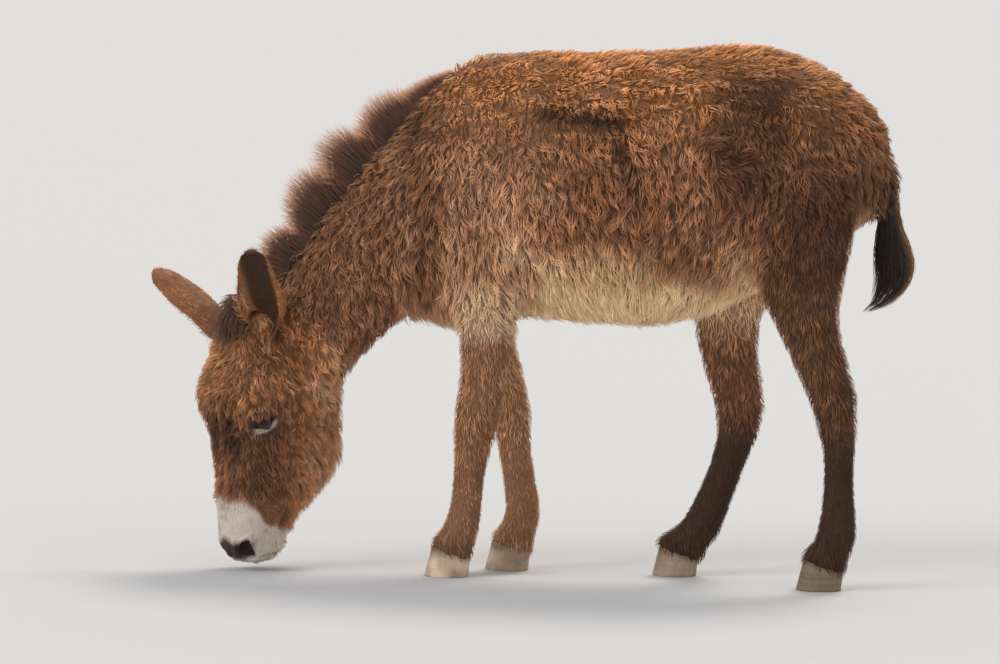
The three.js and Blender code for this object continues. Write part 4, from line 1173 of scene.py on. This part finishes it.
# ---------------------------------------------------------------- eyes
# Wet, nearly black balls with a flat oval pupil, each half covered by its lids, and dark lashes on the
# upper lid.

LASHES = 46  # on each lid
LASH_LONG = 0.015
eye_wet, tree, shader = finish(
    "eye_wet", Roughness=0.12, Specular_IOR_Level=0.3, Coat_Weight=0.2, Coat_Roughness=0.03)
iris, pupil, _, _ = four_values(tree, "rings")
colour = mixed(tree, "MIX", speckle(tree, 600), (0.022, 0.010, 0.006), (0.050, 0.022, 0.010))
colour = mixed(tree, "MIX", iris, (0.06, 0.035, 0.028), colour)
give(tree, mixed(tree, "MIX", pupil, colour, (0.003, 0.002, 0.002)), shader.inputs["Base Color"])

lash_lines, lash_out = [], []
for side in SIDES:
    middle, out, long_, up_ = eye_frame(side)
    bpy.ops.object.select_all(action="DESELECT")
    bpy.ops.mesh.primitive_uv_sphere_add(segments=48, ring_count=32, radius=EYE_BALL, location=(0, 0, 0))
    ball = bpy.context.active_object
    ball.name = "eyeball_" + side
    v = places(ball.data)
    tilt = np.degrees(np.arccos(np.clip(unit(v) @ out, -1, 1)))
    v = v + (0.0009 * ramp(tilt, 44, 30))[:, None] * unit(v)  # the clear front bulges a little
    oval = np.hypot(v @ long_ / 0.0072, v @ up_ / 0.0034)
    put(ball.data, v + middle)
    rings = [ramp(tilt, 44, 38), ramp(oval, 1.1, 0.85) * (tilt < 60), 0 * tilt, 0 * tilt + 1]
    point_values(ball.data, "rings", np.column_stack(rings))
    ball.data.shade_smooth()
    ball.data.materials.append(eye_wet)
    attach(ball, "root")
    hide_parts("eye_" + side)
    for l in np.linspace(-0.92, 0.94, LASHES):
        on, high = l * SLIT_HALF, UPPER_RISE * (1 - l * l) + 0.0006
        root = middle + long_ * on + up_ * high + out * math.sqrt((EYE_BALL + LID) ** 2 - on**2 - high**2)
        reach = LASH_LONG * (1 - 0.35 * abs(l)) * dice.uniform(0.7, 1.1)
        droop = 0.9 * (0.45 + 0.35 * dice.random())
        lash_lines.append([
            root + reach * s * (out * (1 - 0.15 * s) + long_ * (0.35 * l) + up_ * (-droop - 0.55 * s)) / 1.25
            for s in np.linspace(0, 1, 5)])
        lash_out.append(up_)
count = len(lash_out)
long_hair("eyelashes", np.array(lash_lines), np.full(count, 0.0011), np.full(count, 0.4), np.array(lash_out),
          np.linspace(0, 1, count), switch_hair)

# ---------------------------------------------------------------- hooves
# Four narrow upright hooves of dull grey-brown horn, with fine growth rings round the wall and a flat sole.

HOOF_GRAIN = 0.0026
SOLE = 0.0035  # the solid's points below this height belong to the sole
RING_APART = 0.0061
HOOF_PALENESS = {"fore_hoof_left": 0.9, "fore_hoof_right": 0.55, "hind_hoof_left": 0.0, "hind_hoof_right": 0.3}

horn, tree, shader = finish("horn", Roughness=0.6, Specular_IOR_Level=0.35)
growth = speckle(tree, 1.0, 4, (6, 6, 150), (0, 0.3, 0))
tubules = speckle(tree, 1.0, 2, (120, 120, 7))
stains = reckoned(tree, "MULTIPLY_ADD", speckle(tree, 22), 1.6, -0.75)
streaks = mixed(tree, "MIX", tubules, (0.45, 0.42, 0.40), (1.0, 0.98, 0.95))
colour = mixed(tree, "MIX", growth, (0.115, 0.078, 0.052), (0.36, 0.265, 0.19))
colour = mixed(tree, "MIX", one_value(tree, "paleness"), colour, (0.88, 0.68, 0.52))
colour = mixed(tree, "MULTIPLY", 0.55, colour, streaks)
give(tree, mixed(tree, "MIX", stains, colour, (0.10, 0.065, 0.045)), shader.inputs["Base Color"])
in_relief(tree, shader, reckoned(tree, "ADD", growth, reckoned(tree, "MULTIPLY", tubules, 0.5)), 0.001)

for foot, tone in HOOF_PALENESS.items():
    hoof = closed(copied([foot])[0], foot.replace("hoof", "horn"), HOOF_GRAIN)
    was = places(hoof.data)
    v = spread(was, edges_of(hoof.data), 7)
    flat = np.minimum(v[:, 2], was[:, 2]) * ramp(was[:, 2], 0.0, SOLE)
    v[:, 2] = np.where(was[:, 2] < SOLE, flat, v[:, 2])
    put(hoof.data, v)
    wall = ramp(np.abs(facing(hoof.data)[:, 2]), 0.8, 0.4) * ramp(v[:, 2], 0.001, 0.006)
    height = v[:, 2] + 0.30 * (v[:, 0] - v[:, 0].mean())
    rings = 0.00055 * np.sin(height / RING_APART * 2 * math.pi + 1.5 * mottle(v, 0.05))
    v = v + (wall * (rings + 0.0007 * mottle(v, 0.014, 4.0)))[:, None] * facing(hoof.data)
    v[:, 2] = np.maximum(v[:, 2], 0)
    put(hoof.data, v)
    paleness = tone * ramp(v[:, 2], 0.062, 0.030) * (0.8 + 0.4 * mottle(v, 0.03, 6.0))
    point_value(hoof.data, "paleness", np.clip(paleness, 0, 1))
    hoof.data.shade_smooth()
    hoof.data.materials.append(horn)
    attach(hoof, "root")
    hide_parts(foot)

# ---------------------------------------------------------------- floor and light
# A wide pale floor under an even pale sky, a soft warm lamp above and behind, and a broad one ahead to the
# left.

bpy.ops.object.select_all(action="DESELECT")
bpy.ops.mesh.primitive_plane_add(size=240, location=(0, 0, 0))
floor = bpy.context.active_object
floor.name = "floor"
pale_floor, _, _ = finish("pale_floor", Base_Color=(0.542, 0.557, 0.586), Roughness=0.9)
floor.data.materials.append(pale_floor)

sky = bpy.data.worlds.new("studio")
sky.use_nodes = True
sky.node_tree.nodes["Background"].inputs["Color"].default_value = (1.0, 0.985, 0.965, 1)
sky.node_tree.nodes["Background"].inputs["Strength"].default_value = 0.75
bpy.context.scene.world = sky


def lamp(name, towards, strength, softness, colour):
    """A far, soft lamp that shines from the given side; softness is its width in degrees."""
    light = bpy.data.objects.new(name, bpy.data.lights.new(name, "SUN"))
    light.data.energy = strength
    light.data.angle = math.radians(softness)
    light.data.color = colour
    light.rotation_euler = (-Vector(towards)).to_track_quat("-Z", "Y").to_euler()
    bpy.context.scene.collection.objects.link(light)


lamp("lamp_front", (-0.75, -0.75, 0.62), 1.1, 30, (1.0, 0.96, 0.90))
lamp("lamp_above", (0.25, 0.55, 1.0), 1.5, 20, (1.0, 0.90, 0.74))
bpy.context.scene.view_settings.view_transform = "Standard"
